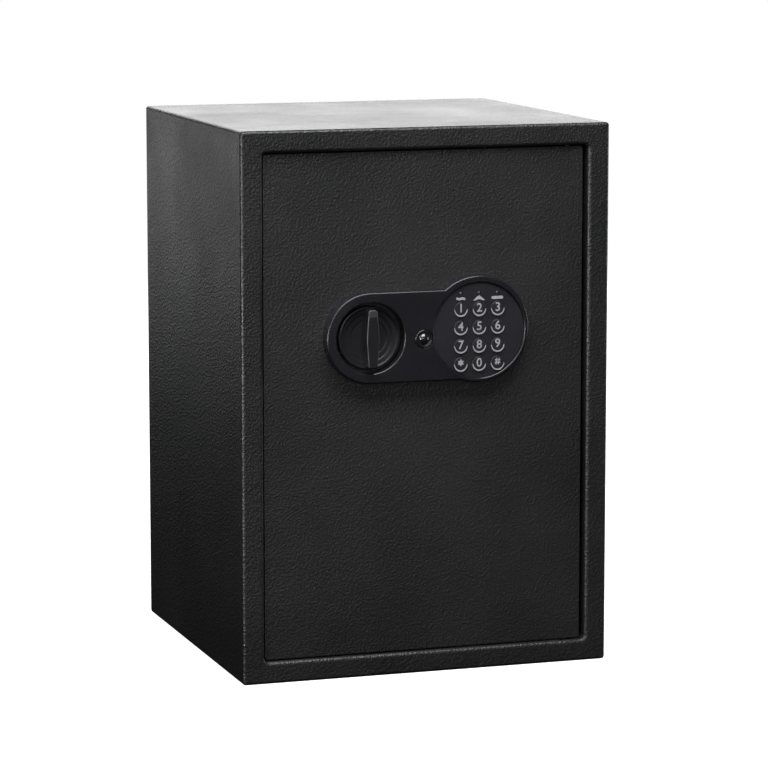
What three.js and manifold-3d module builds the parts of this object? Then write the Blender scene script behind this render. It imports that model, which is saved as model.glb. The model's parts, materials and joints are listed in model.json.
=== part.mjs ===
// In-room safe: a steel cabinet with a recessed door, a combined knob and keypad faceplate,
// two round bolts thrown by the knob, a key override under a small round cover, a battery
// holder on the door's inner face and a lift-out shelf.
//
// Frame: millimetres, +X to the viewer's right, +Y from the front to the back, +Z up,
// origin at the middle of the cabinet's footprint. Rest pose: door shut, bolts drawn in.
import * as THREE from 'three';
import { mergeVertices } from 'three/addons/utils/BufferGeometryUtils.js';
import Module from 'manifold-3d';

const wasm = await Module();
wasm.setup();

// ---- Driving dimensions ---------------------------------------------------------------

const WIDTH = 350;
const DEPTH = 330;
const HEIGHT = 500;
const WALL = 2; // cabinet sheet
const GAP = 0.3; // between pieces that touch

const FRONT_Y = -DEPTH / 2;
const BACK_Y = DEPTH / 2;
const INNER_X = WIDTH / 2 - WALL;
const MID_Z = HEIGHT / 2;

const CABINET = {
  outerRadius: 3,
  bendRadius: 3,
  openingHalfWidth: 154.5,
  openingHalfHeight: 230,
  openingRadius: 4,
  openingBend: 2,
  lipDepth: 12,
};
const ANCHOR = { radius: 6, spread: 75, backZ: 390 };
const MAT = { halfWidth: 166, frontY: -140, backY: 158, thickness: 2.5, radius: 8 };
const SHELF = { z: 262, thickness: 1.5, halfWidth: 171, frontY: -92, backY: 160, flange: 14 };
const RAIL = { leg: 14, thickness: 2, frontY: -88, backY: 150 };

const DOOR = {
  left: -153, right: 151, bottom: 21.2, top: 478.8, radius: 3, recess: 5, thickness: 3, edge: 1.6,
};
const DOOR_FRONT = FRONT_Y + DOOR.recess;
const DOOR_BACK = DOOR_FRONT + DOOR.thickness;
const PAN = { left: -140, right: 130, bottom: 32, top: 468, depth: 36, sheet: 1.5, radius: 5, bend: 3 };
const PAN_BACK = DOOR_BACK + PAN.depth;
const PAN_FLOOR = PAN_BACK - PAN.sheet;

const HINGE = { x: 138.5, y: -153, pinRadius: 3.5, boreRadius: 3.8, pinReach: 12, notch: 7 };
const HINGE_BLOCK = { left: 122, right: 155, front: -162.6, back: -140 };
const HINGE_LUG = { left: 130.4, right: 147, back: -145, height: 24 };

const BOLT = { radius: 9, y: -141, tipX: -152, offset: 90, guide: 16, bore: 9.4 };
const BOLT_Z = [MID_Z - BOLT.offset, MID_Z + BOLT.offset];
const CARRIAGE = { postX: -104, postWidth: 3, backY: -131, margin: 14 };
const YOKE = { front: -151, back: -148, bottom: 300, top: 334, right: -3 };
const SLOT = { width: 5.8, bottom: 319.2, top: 327.2 };
const NOTCH = { width: 6.6, depth: 6 };
const THROW = 12; // bolt travel

const PLATE_FRONT = -173; // faceplate front
const PLATE_EDGE = 1.6; // rounding of the faceplate's outer edge
const PLATE_BACK = DOOR_FRONT - GAP;
const KNOB_SIDE = { x: -56.5, z: 312, radius: 41.2 };
const KEYPAD_SIDE = { x: 45.8, z: 316.5, radius: 48.5 };
const KNOB_WELL = { radius: 32, rim: 33.6, chamfer: 1.5 };
const KEYPAD_WELL = { x: 46.8, z: 315.3, radius: 43.4, rim: 44.9, chamfer: 1.6 };
const COVER = {
  x: -6, z: 309.5, radius: 8.3, wellRadius: 8.7, domeRadius: 4.6, domeHeight: 1.6, edge: 0.9,
};

const KNOB = {
  radius: 29, back: DOOR_FRONT - 0.6, dishRadius: 17, dishFloor: -165.2, rim: -168.4, edge: 1.4, crank: 12,
};
const GRIP = {
  front: -180, halfLength: 26.6, halfWidth: 4.6, swell: 1.4, corner: 2.4, edge: 1.5, draft: 0.5,
};
const SPINDLE = {
  radius: 5, back: -151.7, crankRadius: 17, crankFront: -156.4, pinRadius: 2.5, pinBack: -146,
};
const CRANK_REST_ANGLE = Math.PI / 6; // from straight up, towards +X

const KEY = { radius: 6.6, front: -172.5, flangeRadius: 7.2, flangeFront: -169.2, back: -168.4 };
const KEY_PITCH = { x: 17.7, z: 16.7 };
const KEY_TOP_ROW_Z = 334.5;
const KEY_MIDDLE_X = 46.8;
const KEY_NAMES = ['1', '2', '3', '4', '5', '6', '7', '8', '9', 'star', '0', 'hash'];
const KEY_HOLE_RADIUS = 6.95;
const KEYPAD = { front: -171.3, back: -169.8, radius: 43.1 };
const KEYPAD_SHEET_FRONT = -167.2;
const KEYPAD_BOARD_FRONT = -165.8;
const KEYPAD_BOARD_THICKNESS = 1.6;
const LED = { z: 349.3, spread: 17.5, radius: 1.4, hole: 1.8, front: -171.7, back: -167.7 };

const LOCK = { bodyRadius: 8, bore: 5.4, front: -165.6, back: -148 };
const LOCK_PLUG = { radius: 5.1, back: -147.5, pinOffset: 3.2, pinRadius: 1.5, pinBack: -143.2 };
const PLUNGER = {
  x: -25, y: -149.5, radius: 2.5, tip: 334.5, top: 374, strapHalfWidth: 2, strapThickness: 3, strapTop: 341.5,
};
const SPRING = { turns: 4, clearance: 1.2, wire: 0.5, endGap: 0.9 };
const SOLENOID = { halfWidth: 13, front: -156.6, back: -141, bottom: 352, top: 390 };

const TRAY = { left: -33, right: 33, bottom: 92, top: 158, front: -144, wall: 1.5 };
const CELL = { radius: 7, length: 50, pitch: 15.2, buttonRadius: 2.7, buttonHeight: 1.5 };
const BATTERY_COVER = {
  margin: 4, thickness: 2.2, edge: 0.8, ridge: 3, ridgeWidth: 4, ridgeHalfLength: 14,
};
const RESET = { x: 112, z: 300, radius: 4, travel: 2 };
const PAN_SCREW = { radius: 2, seat: 1.5, headRadius: 4, head: 2.2, inset: 12 };
const CABLE = { x: 46.5, z: 290, radius: 1.8, hole: 5, drift: 3 };
const LEAD = { x: 22, radius: 1.5, drift: 10 };
const LOCK_BOARD = { left: 14, right: 104, bottom: 285, top: 385, front: -146, thickness: 1.6 };

// ---- Materials ------------------------------------------------------------------------

const finish = (color, roughness, metalness) => ({ color, roughness, metalness });
const FINISH = {
  paint: finish(0x1b1c1e, 0.55, 0.1),
  plastic: finish(0x111216, 0.35, 0),
  steel: finish(0x9a9da1, 0.35, 0.9),
  zinc: finish(0xb4b6b3, 0.45, 0.8),
  brass: finish(0xb08d4a, 0.4, 0.9),
  rubber: finish(0x202020, 0.85, 0),
  board: finish(0x1d5a35, 0.5, 0),
  lens: finish(0x2a1414, 0.2, 0),
  red: finish(0xb02020, 0.4, 0),
  cell: finish(0x3a3d44, 0.4, 0.3),
  lead: finish(0x303030, 0.6, 0),
};

// ---- Shape helpers --------------------------------------------------------------------

function toSolid(geometry) {
  const bare = geometry.clone();
  bare.deleteAttribute('normal');
  bare.deleteAttribute('uv');
  const merged = mergeVertices(bare, 1e-4);
  const vertProperties = new Float32Array(merged.attributes.position.array);
  const triVerts = new Uint32Array(merged.index.array);
  return new wasm.Manifold(new wasm.Mesh({ numProp: 3, vertProperties, triVerts }));
}

function toGeometry(solid) {
  const mesh = solid.getMesh();
  const geometry = new THREE.BufferGeometry();
  geometry.setAttribute('position', new THREE.BufferAttribute(mesh.vertProperties, 3));
  geometry.setIndex(new THREE.BufferAttribute(mesh.triVerts, 1));
  return geometry;
}

// The first geometry with the others cut away from it.
function cut(base, tools) {
  const result = tools.reduce((solid, tool) => solid.subtract(toSolid(tool)), toSolid(base));
  return toGeometry(result);
}

function join(pieces) {
  const [first, ...rest] = pieces.map(toSolid);
  return toGeometry(rest.reduce((solid, piece) => solid.add(piece), first));
}

// A block between two opposite corners.
function block(low, high) {
  const size = high.map((value, axis) => value - low[axis]);
  const middle = high.map((value, axis) => (value + low[axis]) / 2);
  return new THREE.BoxGeometry(...size).translate(...middle);
}

// Round bars along each axis.
function barY(x, z, radius, y0, y1, sides = 24) {
  const bar = new THREE.CylinderGeometry(radius, radius, y1 - y0, sides);
  return bar.translate(x, (y0 + y1) / 2, z);
}

function barZ(x, y, radius, z0, z1, sides = 24) {
  const bar = new THREE.CylinderGeometry(radius, radius, z1 - z0, sides).rotateX(Math.PI / 2);
  return bar.translate(x, y, (z0 + z1) / 2);
}

function barX(y, z, radius, x0, x1, sides = 24) {
  const bar = new THREE.CylinderGeometry(radius, radius, x1 - x0, sides).rotateZ(Math.PI / 2);
  return bar.translate((x0 + x1) / 2, y, z);
}

// A turned piece about an axis along Y. The profile lists [radius, y] from front to back.
function turned(x, z, profile, sides = 24) {
  const points = profile.map(([radius, y]) => new THREE.Vector2(radius, y));
  return new THREE.LatheGeometry(points, sides).translate(x, 0, z);
}

// A rectangle with round corners in the XZ plane, counter-clockwise seen from the front.
function roundedRing(left, right, bottom, top, radius, steps = 4) {
  const corners = [
    [right - radius, top - radius, 0],
    [left + radius, top - radius, 1],
    [left + radius, bottom + radius, 2],
    [right - radius, bottom + radius, 3],
  ];
  const ring = [];
  for (const [x, z, quarter] of corners) {
    for (let step = 0; step <= steps; step += 1) {
      const angle = (quarter + step / steps) * (Math.PI / 2);
      ring.push([x + radius * Math.cos(angle), z + radius * Math.sin(angle)]);
    }
  }
  return ring;
}

// Joins rings of XZ points, each at its own y. Closed rings meet end to end, as a frame
// does; otherwise both ends are capped. Rings run from the back to the front.
function loft(layers, closed = false) {
  const count = layers[0].ring.length;
  const points = layers.flatMap(({ ring, y }) => ring.map(([x, z]) => [x, y, z]));
  const faces = [];
  const spans = closed ? layers.length : layers.length - 1;
  for (let layer = 0; layer < spans; layer += 1) {
    const here = layer * count;
    const next = ((layer + 1) % layers.length) * count;
    for (let i = 0; i < count; i += 1) {
      const j = (i + 1) % count;
      faces.push([here + i, here + j, next + j], [here + i, next + j, next + i]);
    }
  }
  if (!closed) {
    const last = (layers.length - 1) * count;
    const flat = (ring) => ring.map(([x, z]) => new THREE.Vector2(x, z));
    for (const [a, b, c] of THREE.ShapeUtils.triangulateShape(flat(layers[0].ring), [])) {
      faces.push([a, c, b]);
    }
    for (const [a, b, c] of THREE.ShapeUtils.triangulateShape(flat(layers.at(-1).ring), [])) {
      faces.push([last + a, last + b, last + c]);
    }
  }
  const geometry = new THREE.BufferGeometry();
  geometry.setAttribute('position', new THREE.Float32BufferAttribute(points.flat(), 3));
  geometry.setIndex(faces.flat());
  return geometry;
}

// A tube of round section along a smooth curve through the given points.
function tube(points, radius, steps, sides = 8) {
  const path = new THREE.CatmullRomCurve3(points.map((point) => new THREE.Vector3(...point)));
  const section = new THREE.Shape(new THREE.Path().absarc(0, 0, radius, 0, 2 * Math.PI).getPoints(sides / 4));
  return new THREE.ExtrudeGeometry(section, { steps, extrudePath: path, bevelEnabled: false });
}

const safe = new THREE.Group();
safe.name = 'in_room_safe';

function addPiece(name, geometry, look) {
  const mesh = new THREE.Mesh(geometry, new THREE.MeshStandardMaterial(look));
  mesh.name = name;
  safe.add(mesh);
}

// ---- Cabinet --------------------------------------------------------------------------

// One bent sheet: four walls, the front flange round the doorway and its inward lip.
function cabinetShell() {
  const outside = (inset) => roundedRing(
    inset - WIDTH / 2, WIDTH / 2 - inset, inset, HEIGHT - inset, Math.max(CABINET.outerRadius - inset, 0.8),
  );
  const doorway = (growth) => roundedRing(
    -CABINET.openingHalfWidth - growth, CABINET.openingHalfWidth + growth,
    MID_Z - CABINET.openingHalfHeight - growth, MID_Z + CABINET.openingHalfHeight + growth,
    CABINET.openingRadius + growth,
  );
  const steps = 3;
  const bend = CABINET.bendRadius;
  const fold = CABINET.openingBend;
  const outerBend = [];
  const innerBend = [];
  for (let step = 0; step <= steps; step += 1) {
    const angle = (step / steps) * (Math.PI / 2);
    const across = 1 - Math.cos(angle);
    const along = 1 - Math.sin(angle);
    outerBend.push({ ring: outside(bend * across), y: FRONT_Y + bend * along });
    innerBend.push({ ring: doorway(fold * along), y: FRONT_Y + fold * across });
  }
  const layers = [
    { ring: outside(0), y: BACK_Y },
    ...outerBend,
    ...innerBend,
    { ring: doorway(0), y: FRONT_Y + CABINET.lipDepth },
    { ring: doorway(WALL), y: FRONT_Y + CABINET.lipDepth },
    { ring: doorway(WALL), y: FRONT_Y + WALL },
    { ring: outside(WALL), y: FRONT_Y + WALL },
    { ring: outside(WALL), y: BACK_Y },
  ];
  const [left, right] = [HINGE.x - HINGE.notch, HINGE.x + HINGE.notch];
  const [front, back] = [HINGE.y - HINGE.notch, HINGE.y + HINGE.notch];
  const lipBottom = MID_Z - CABINET.openingHalfHeight;
  const lipTop = MID_Z + CABINET.openingHalfHeight;
  return cut(loft(layers, true), [
    block([left, front, lipBottom - WALL - 1], [right, back, lipBottom + 1]),
    block([left, front, lipTop - 1], [right, back, lipTop + WALL + 1]),
    barZ(-ANCHOR.spread, 0, ANCHOR.radius, -1, WALL + 1),
    barZ(ANCHOR.spread, 0, ANCHOR.radius, -1, WALL + 1),
  ]);
}

function backPanel() {
  const inset = WALL + GAP;
  const ring = roundedRing(inset - WIDTH / 2, WIDTH / 2 - inset, inset, HEIGHT - inset, 1);
  const panel = loft([{ ring, y: BACK_Y }, { ring, y: BACK_Y - WALL }]);
  return cut(panel, [-1, 1].map(
    (side) => barY(side * ANCHOR.spread, ANCHOR.backZ, ANCHOR.radius, BACK_Y - WALL - 1, BACK_Y + 1),
  ));
}

// The welded block behind the flange that takes one door pin, at the top or the bottom.
function hingeBlock(isUpper) {
  const lip = isUpper ? MID_Z + CABINET.openingHalfHeight + WALL : MID_Z - CABINET.openingHalfHeight - WALL;
  const wall = isUpper ? HEIGHT - WALL : WALL;
  const low = Math.min(lip, wall) + GAP;
  const high = Math.max(lip, wall) - GAP;
  const body = block([HINGE_BLOCK.left, HINGE_BLOCK.front, low], [HINGE_BLOCK.right, HINGE_BLOCK.back, high]);
  return cut(body, [barZ(HINGE.x, HINGE.y, HINGE.boreRadius, low - 1, high + 1)]);
}

// An angle on a side wall that the shelf rests on.
function shelfRail(side) {
  const outer = side * (INNER_X - GAP);
  const inner = outer - side * RAIL.leg;
  const web = outer - side * RAIL.thickness;
  const top = SHELF.z - GAP;
  const span = (a, b) => [Math.min(a, b), Math.max(a, b)];
  const [ledgeLow, ledgeHigh] = span(inner, outer);
  const [webLow, webHigh] = span(web, outer);
  return join([
    block([ledgeLow, RAIL.frontY, top - RAIL.thickness], [ledgeHigh, RAIL.backY, top]),
    block([webLow, RAIL.frontY, top - RAIL.leg], [webHigh, RAIL.backY, top]),
  ]);
}

// Sheet shelf with its front and back edges folded down and its sides flat on the rails.
function shelf() {
  const { halfWidth, frontY, backY, z, thickness, flange } = SHELF;
  const clear = RAIL.leg + 4;
  const fold = (y0, y1) => block(
    [-halfWidth + clear, y0, z - flange],
    [halfWidth - clear, y1, z + thickness],
  );
  return join([
    block([-halfWidth, frontY, z], [halfWidth, backY, z + thickness]),
    fold(frontY, frontY + thickness),
    fold(backY - thickness, backY),
  ]);
}

// A moulded rubber mat on the floor.
function floorMat() {
  const { halfWidth, frontY, backY, thickness, radius } = MAT;
  const outline = roundedRing(-halfWidth, halfWidth, frontY, backY, radius);
  const shape = new THREE.Shape(outline.map(([x, y]) => new THREE.Vector2(x, y)));
  const sheet = new THREE.ExtrudeGeometry(shape, { depth: thickness, bevelEnabled: false });
  return sheet.translate(0, 0, WALL + GAP);
}

// ---- Door -----------------------------------------------------------------------------

function doorPlate() {
  const { left, right, bottom, top, radius, edge } = DOOR;
  const face = (inset) => roundedRing(
    left + inset, right - inset, bottom + inset, top - inset, radius - inset,
  );
  const plate = loft([
    { ring: face(0), y: DOOR_BACK },
    { ring: face(0), y: DOOR_FRONT + edge },
    { ring: face(edge * 0.3), y: DOOR_FRONT + edge * 0.3 },
    { ring: face(edge), y: DOOR_FRONT },
  ]);
  const through = (x, z, holeRadius) => barY(x, z, holeRadius, DOOR_FRONT - 1, DOOR_BACK + 1);
  const screwSeats = panScrewPlaces().map(
    ([x, z]) => barY(x, z, PAN_SCREW.radius + GAP, DOOR_BACK - PAN_SCREW.seat - GAP, DOOR_BACK + 1, 16),
  );
  return cut(plate, [
    through(KNOB_SIDE.x, KNOB_SIDE.z, SPINDLE.radius + 0.5),
    through(COVER.x, COVER.z, LOCK.bodyRadius + GAP),
    through(CABLE.x, CABLE.z, CABLE.hole),
    ...screwSeats,
  ]);
}

// The pressed pan that covers the lock work on the door's inner side.
function doorPan() {
  const { left, right, bottom, top, radius, bend, sheet } = PAN;
  const wall = (inset) => roundedRing(
    left + inset, right - inset, bottom + inset, top - inset, Math.max(radius - inset, 1.2),
  );
  const rim = DOOR_BACK + GAP;
  const pan = loft([
    { ring: wall(bend), y: PAN_BACK },
    { ring: wall(bend * 0.3), y: PAN_BACK - bend * 0.3 },
    { ring: wall(0), y: PAN_BACK - bend },
    { ring: wall(0), y: rim },
    { ring: wall(sheet), y: rim },
    { ring: wall(sheet), y: PAN_FLOOR - bend + sheet },
    { ring: wall(bend), y: PAN_FLOOR },
  ]);
  const boltHoles = BOLT_Z.map((z) => barX(BOLT.y, z, BOLT.bore + 0.4, left - 1, left + 4));
  const screwHoles = panScrewPlaces().map(
    ([x, z]) => barY(x, z, PAN_SCREW.radius + GAP, PAN_FLOOR - 1, PAN_BACK + 1, 16),
  );
  return cut(pan, [
    block(
      [TRAY.left - GAP, PAN_FLOOR - 1, TRAY.bottom - GAP],
      [TRAY.right + GAP, PAN_BACK + 1, TRAY.top + GAP],
    ),
    barY(RESET.x, RESET.z, RESET.radius + 0.4, PAN_FLOOR - 1, PAN_BACK + 1, 16),
    ...boltHoles,
    ...screwHoles,
  ]);
}

// A lug on the door's back with the pin that turns in the cabinet's hinge block.
function hingeLug(isUpper) {
  const { left, right, back, height } = HINGE_LUG;
  const end = isUpper ? DOOR.top - 2 : DOOR.bottom + 2;
  const inner = isUpper ? end - height : end + height;
  const tip = isUpper ? end + HINGE.pinReach : end - HINGE.pinReach;
  const lug = block([left, DOOR_BACK + GAP, Math.min(end, inner)], [right, back, Math.max(end, inner)]);
  const pin = barZ(HINGE.x, HINGE.y, HINGE.pinRadius, Math.min(inner, tip), Math.max(inner, tip));
  return join([lug, pin]);
}

// A block on the door's back that one bolt slides through.
function boltGuide(z) {
  const left = PAN.left + PAN.sheet + GAP;
  const half = BOLT.bore + 4;
  const body = block([left, DOOR_BACK + GAP, z - half], [left + BOLT.guide, BOLT.y + half, z + half]);
  return cut(body, [barX(BOLT.y, z, BOLT.bore, left - 1, left + BOLT.guide + 1)]);
}

function panScrewPlaces() {
  const { inset } = PAN_SCREW;
  return [
    [PAN.left + inset, PAN.bottom + inset],
    [PAN.right - inset, PAN.bottom + inset],
    [PAN.left + inset, PAN.top - inset],
    [PAN.right - inset, PAN.top - inset],
  ];
}

function panScrew(x, z) {
  const { radius, seat, headRadius, head } = PAN_SCREW;
  const under = PAN_BACK + GAP;
  return turned(x, z, [
    [0, DOOR_BACK - seat],
    [radius, DOOR_BACK - seat],
    [radius, under],
    [headRadius, under],
    [headRadius, under + head * 0.5],
    [headRadius * 0.6, under + head],
    [0, under + head],
  ], 16);
}

// ---- Faceplate ------------------------------------------------------------------------

// Outline of the faceplate: a small circle round the knob and a larger one round the keys,
// joined by a straight band as high as the small circle.
function faceplateRing(inset) {
  const small = KNOB_SIDE.radius - inset;
  const large = KEYPAD_SIDE.radius - inset;
  const rise = KEYPAD_SIDE.z - KNOB_SIDE.z;
  const topAngle = Math.PI - Math.asin((small - rise) / large);
  const bottomAngle = Math.PI + Math.asin((small + rise) / large);
  const ring = [];
  const smallSteps = 28;
  for (let step = 0; step <= smallSteps; step += 1) {
    const angle = Math.PI / 2 + (step / smallSteps) * Math.PI;
    ring.push([KNOB_SIDE.x + small * Math.cos(angle), KNOB_SIDE.z + small * Math.sin(angle)]);
  }
  const largeSteps = 44;
  const sweep = 2 * Math.PI - (bottomAngle - topAngle);
  for (let step = 0; step <= largeSteps; step += 1) {
    const angle = bottomAngle + (step / largeSteps) * sweep;
    ring.push([KEYPAD_SIDE.x + large * Math.cos(angle), KEYPAD_SIDE.z + large * Math.sin(angle)]);
  }
  return ring;
}

function faceplate() {
  const edge = PLATE_EDGE;
  const plate = loft([
    { ring: faceplateRing(0), y: PLATE_BACK },
    { ring: faceplateRing(0), y: PLATE_FRONT + edge },
    { ring: faceplateRing(edge * 0.13), y: PLATE_FRONT + edge * 0.5 },
    { ring: faceplateRing(edge * 0.5), y: PLATE_FRONT + edge * 0.13 },
    { ring: faceplateRing(edge), y: PLATE_FRONT },
  ]);
  const well = ({ radius, rim, chamfer, x, z }, sides) => turned(x, z, [
    [0, PLATE_FRONT - 1],
    [rim, PLATE_FRONT - 1],
    [rim, PLATE_FRONT],
    [radius, PLATE_FRONT + chamfer],
    [radius, PLATE_BACK + 1],
    [0, PLATE_BACK + 1],
  ], sides);
  return cut(plate, [
    well({ ...KNOB_SIDE, ...KNOB_WELL }, 48),
    well(KEYPAD_WELL, 56),
    barY(COVER.x, COVER.z, COVER.wellRadius, PLATE_FRONT - 1, PLATE_BACK + 1, 32),
  ]);
}

function keyPlaces() {
  return KEY_NAMES.map((name, index) => {
    const column = (index % 3) - 1;
    const row = Math.floor(index / 3);
    return { name, x: KEY_MIDDLE_X + column * KEY_PITCH.x, z: KEY_TOP_ROW_Z - row * KEY_PITCH.z };
  });
}

function lampPlaces() {
  return ['left', 'middle', 'right'].map((name, index) => (
    { name, x: KEY_MIDDLE_X + (index - 1) * LED.spread, z: LED.z }
  ));
}

function keypadPlate() {
  const disc = barY(KEYPAD_WELL.x, KEYPAD_WELL.z, KEYPAD.radius, KEYPAD.front, KEYPAD.back, 56);
  const keyHoles = keyPlaces().map(
    ({ x, z }) => barY(x, z, KEY_HOLE_RADIUS, KEYPAD.front - 1, KEYPAD.back + 1, 20),
  );
  const lampHoles = lampPlaces().map(
    ({ x, z }) => barY(x, z, LED.hole, KEYPAD.front - 1, KEYPAD.back + 1, 12),
  );
  return cut(disc, [...keyHoles, ...lampHoles]);
}

function key(x, z) {
  const { radius, front, flangeRadius, flangeFront, back } = KEY;
  const round = 0.5;
  return turned(x, z, [
    [0, front],
    [radius - round, front],
    [radius, front + round],
    [radius, flangeFront],
    [flangeRadius, flangeFront],
    [flangeRadius, back],
    [0, back],
  ], 20);
}

function lamp(x, z) {
  const { radius, front, back } = LED;
  return turned(x, z, [
    [0, front],
    [radius * 0.7, front + 0.3],
    [radius, front + 1],
    [radius, back],
    [0, back],
  ], 12);
}

// The rubber sheet under the keys, and the circuit board behind it.
function keypadLayer(front, thickness) {
  return barY(KEYPAD_WELL.x, KEYPAD_WELL.z, KEYPAD.radius - 1, front, front + thickness, 40);
}

// ---- Knob, bolts and carriage ---------------------------------------------------------

// The grip's outline: a bar that swells towards its middle, with cut corners.
function gripRing(inset) {
  const { corner, swell } = GRIP;
  const length = GRIP.halfLength - inset;
  const width = GRIP.halfWidth - inset;
  const steps = 8;
  const flank = [];
  for (let step = 0; step <= steps; step += 1) {
    const z = (length - corner) * ((2 * step) / steps - 1);
    flank.push([width + swell * Math.cos((z / length) * (Math.PI / 2)) ** 2, z]);
  }
  const cutCorner = [[width - corner * 0.3, length - corner * 0.3], [width - corner, length]];
  const lowerCorner = cutCorner.map(([x, z]) => [x, -z]).reverse();
  const rightSide = [...lowerCorner, ...flank, ...cutCorner];
  const leftSide = rightSide.map(([x, z]) => [-x, -z]);
  return [...rightSide, ...leftSide].map(([x, z]) => [KNOB_SIDE.x + x, KNOB_SIDE.z + z]);
}

// A dished disc sunk in the faceplate, with the grip standing proud across it.
function knob() {
  const { radius, back, dishRadius, dishFloor, rim, edge } = KNOB;
  const disc = turned(KNOB_SIDE.x, KNOB_SIDE.z, [
    [0, dishFloor],
    [dishRadius, dishFloor],
    [(dishRadius + radius) / 2, dishFloor + (rim - dishFloor) * 0.35],
    [radius - edge - 0.6, rim + 0.3],
    [radius - edge, rim],
    [radius - edge * 0.3, rim + edge * 0.3],
    [radius, rim + edge],
    [radius, back],
    [0, back],
  ], 48);
  const { front, edge: gripEdge, draft } = GRIP;
  const grip = loft([
    { ring: gripRing(-draft), y: dishFloor + 1 },
    { ring: gripRing(0), y: front + gripEdge },
    { ring: gripRing(gripEdge * 0.3), y: front + gripEdge * 0.3 },
    { ring: gripRing(gripEdge), y: front },
  ]);
  return join([disc, grip]);
}

// The knob's shaft with the crank that works the carriage.
function knobSpindle() {
  const { radius, back, crankRadius, crankFront, pinRadius, pinBack } = SPINDLE;
  const { x, z } = KNOB_SIDE;
  const pinX = x + KNOB.crank * Math.sin(CRANK_REST_ANGLE);
  const pinZ = z + KNOB.crank * Math.cos(CRANK_REST_ANGLE);
  return join([
    barY(x, z, radius, KNOB.back + GAP, back),
    barY(x, z, crankRadius, crankFront, back, 32),
    barY(pinX, pinZ, pinRadius, back - 1, pinBack, 16),
  ]);
}

function liveBolt(z) {
  const back = CARRIAGE.postX - GAP;
  const bevel = 1.5;
  const bolt = barX(BOLT.y, z, BOLT.radius, BOLT.tipX + bevel, back, 32);
  const tip = new THREE.CylinderGeometry(BOLT.radius, BOLT.radius - bevel, bevel, 32);
  tip.rotateZ(-Math.PI / 2).translate(BOLT.tipX + bevel / 2, BOLT.y, z);
  return join([bolt, tip]);
}

// The sliding carriage: a post that carries both bolts, and a plate with the crank's slot
// and two notches for the plunger, one for each end of the travel.
function boltCarriage() {
  const { postX, postWidth, backY, margin } = CARRIAGE;
  const { front, back, bottom, top, right } = YOKE;
  const slotX = KNOB_SIDE.x + KNOB.crank * Math.sin(CRANK_REST_ANGLE);
  const armBottom = COVER.z + LOCK.bodyRadius + 4;
  const bodyRight = KNOB_SIDE.x + SPINDLE.crankRadius + 4;
  const post = block([postX, front, BOLT_Z[0] - margin], [postX + postWidth, backY, BOLT_Z[1] + margin]);
  const plate = block([postX + 1, front, bottom], [bodyRight, back, top]);
  const arm = block([bodyRight - 1, front, armBottom], [right, back, top]);
  const notches = [0, THROW].map((shift) => {
    const x = PLUNGER.x + shift;
    return block(
      [x - NOTCH.width / 2, front - 1, top - NOTCH.depth],
      [x + NOTCH.width / 2, back + 1, top + 1],
    );
  });
  const slot = block(
    [slotX - SLOT.width / 2, front - 1, SLOT.bottom],
    [slotX + SLOT.width / 2, back + 1, SLOT.top],
  );
  return cut(join([post, plate, arm]), [slot, ...notches]);
}

// ---- Key override and solenoid --------------------------------------------------------

// The small round cover that hides the keyhole.
function keyholeCover() {
  const { x, z, radius, domeRadius, domeHeight, edge } = COVER;
  const back = LOCK.front - GAP - 0.4;
  return turned(x, z, [
    [0, PLATE_FRONT - domeHeight],
    [domeRadius * 0.5, PLATE_FRONT - domeHeight * 0.75],
    [domeRadius * 0.9, PLATE_FRONT - domeHeight * 0.12],
    [domeRadius, PLATE_FRONT + 0.5],
    [radius - edge, PLATE_FRONT + 0.1],
    [radius, PLATE_FRONT + edge],
    [radius, back],
    [0, back],
  ], 28);
}

function lockBody() {
  const { bodyRadius, bore, front, back } = LOCK;
  const body = barY(COVER.x, COVER.z, bodyRadius, front, back, 28);
  return cut(body, [barY(COVER.x, COVER.z, bore, front - 1, back + 1, 28)]);
}

// The part that the key turns, with its key slot and the pin that lifts the plunger.
function lockPlug() {
  const { x, z } = COVER;
  const { radius, back, pinOffset, pinRadius, pinBack } = LOCK_PLUG;
  const reach = pinOffset * Math.SQRT1_2;
  const slot = block([x - 0.9, LOCK.front - 1, z - 3.5], [x + 0.9, LOCK.front + 12, z + 3.5]);
  return join([
    cut(barY(x, z, radius, LOCK.front, back, 28), [slot]),
    barY(x + reach, z + reach, pinRadius, back - 1, pinBack, 12),
  ]);
}

// The solenoid's plunger, with a strap behind the carriage and a foot above the lock's pin.
function plunger() {
  const { x, y, radius, tip, top, strapHalfWidth, strapThickness, strapTop } = PLUNGER;
  const pinTop = COVER.z + LOCK_PLUG.pinOffset * Math.SQRT1_2 + LOCK_PLUG.pinRadius;
  const footBottom = pinTop + GAP + 0.1;
  const footRight = COVER.x + LOCK_PLUG.radius;
  const strapFront = LOCK_PLUG.back + 1;
  const strapBack = strapFront + strapThickness;
  const [left, right] = [x - strapHalfWidth, x + strapHalfWidth];
  return join([
    barZ(x, y, radius, tip, top, 16),
    block([left, y, strapTop - strapThickness], [right, strapBack, strapTop]),
    block([left, strapFront, footBottom], [right, strapBack, strapTop]),
    block([left, strapFront, footBottom], [footRight, strapBack, footBottom + strapThickness]),
  ]);
}

function solenoidBody() {
  const { halfWidth, front, back, bottom, top } = SOLENOID;
  const body = block([PLUNGER.x - halfWidth, front, bottom], [PLUNGER.x + halfWidth, back, top]);
  return cut(body, [barZ(PLUNGER.x, PLUNGER.y, PLUNGER.radius + 0.4, bottom - 1, PLUNGER.top + 3, 16)]);
}

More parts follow.
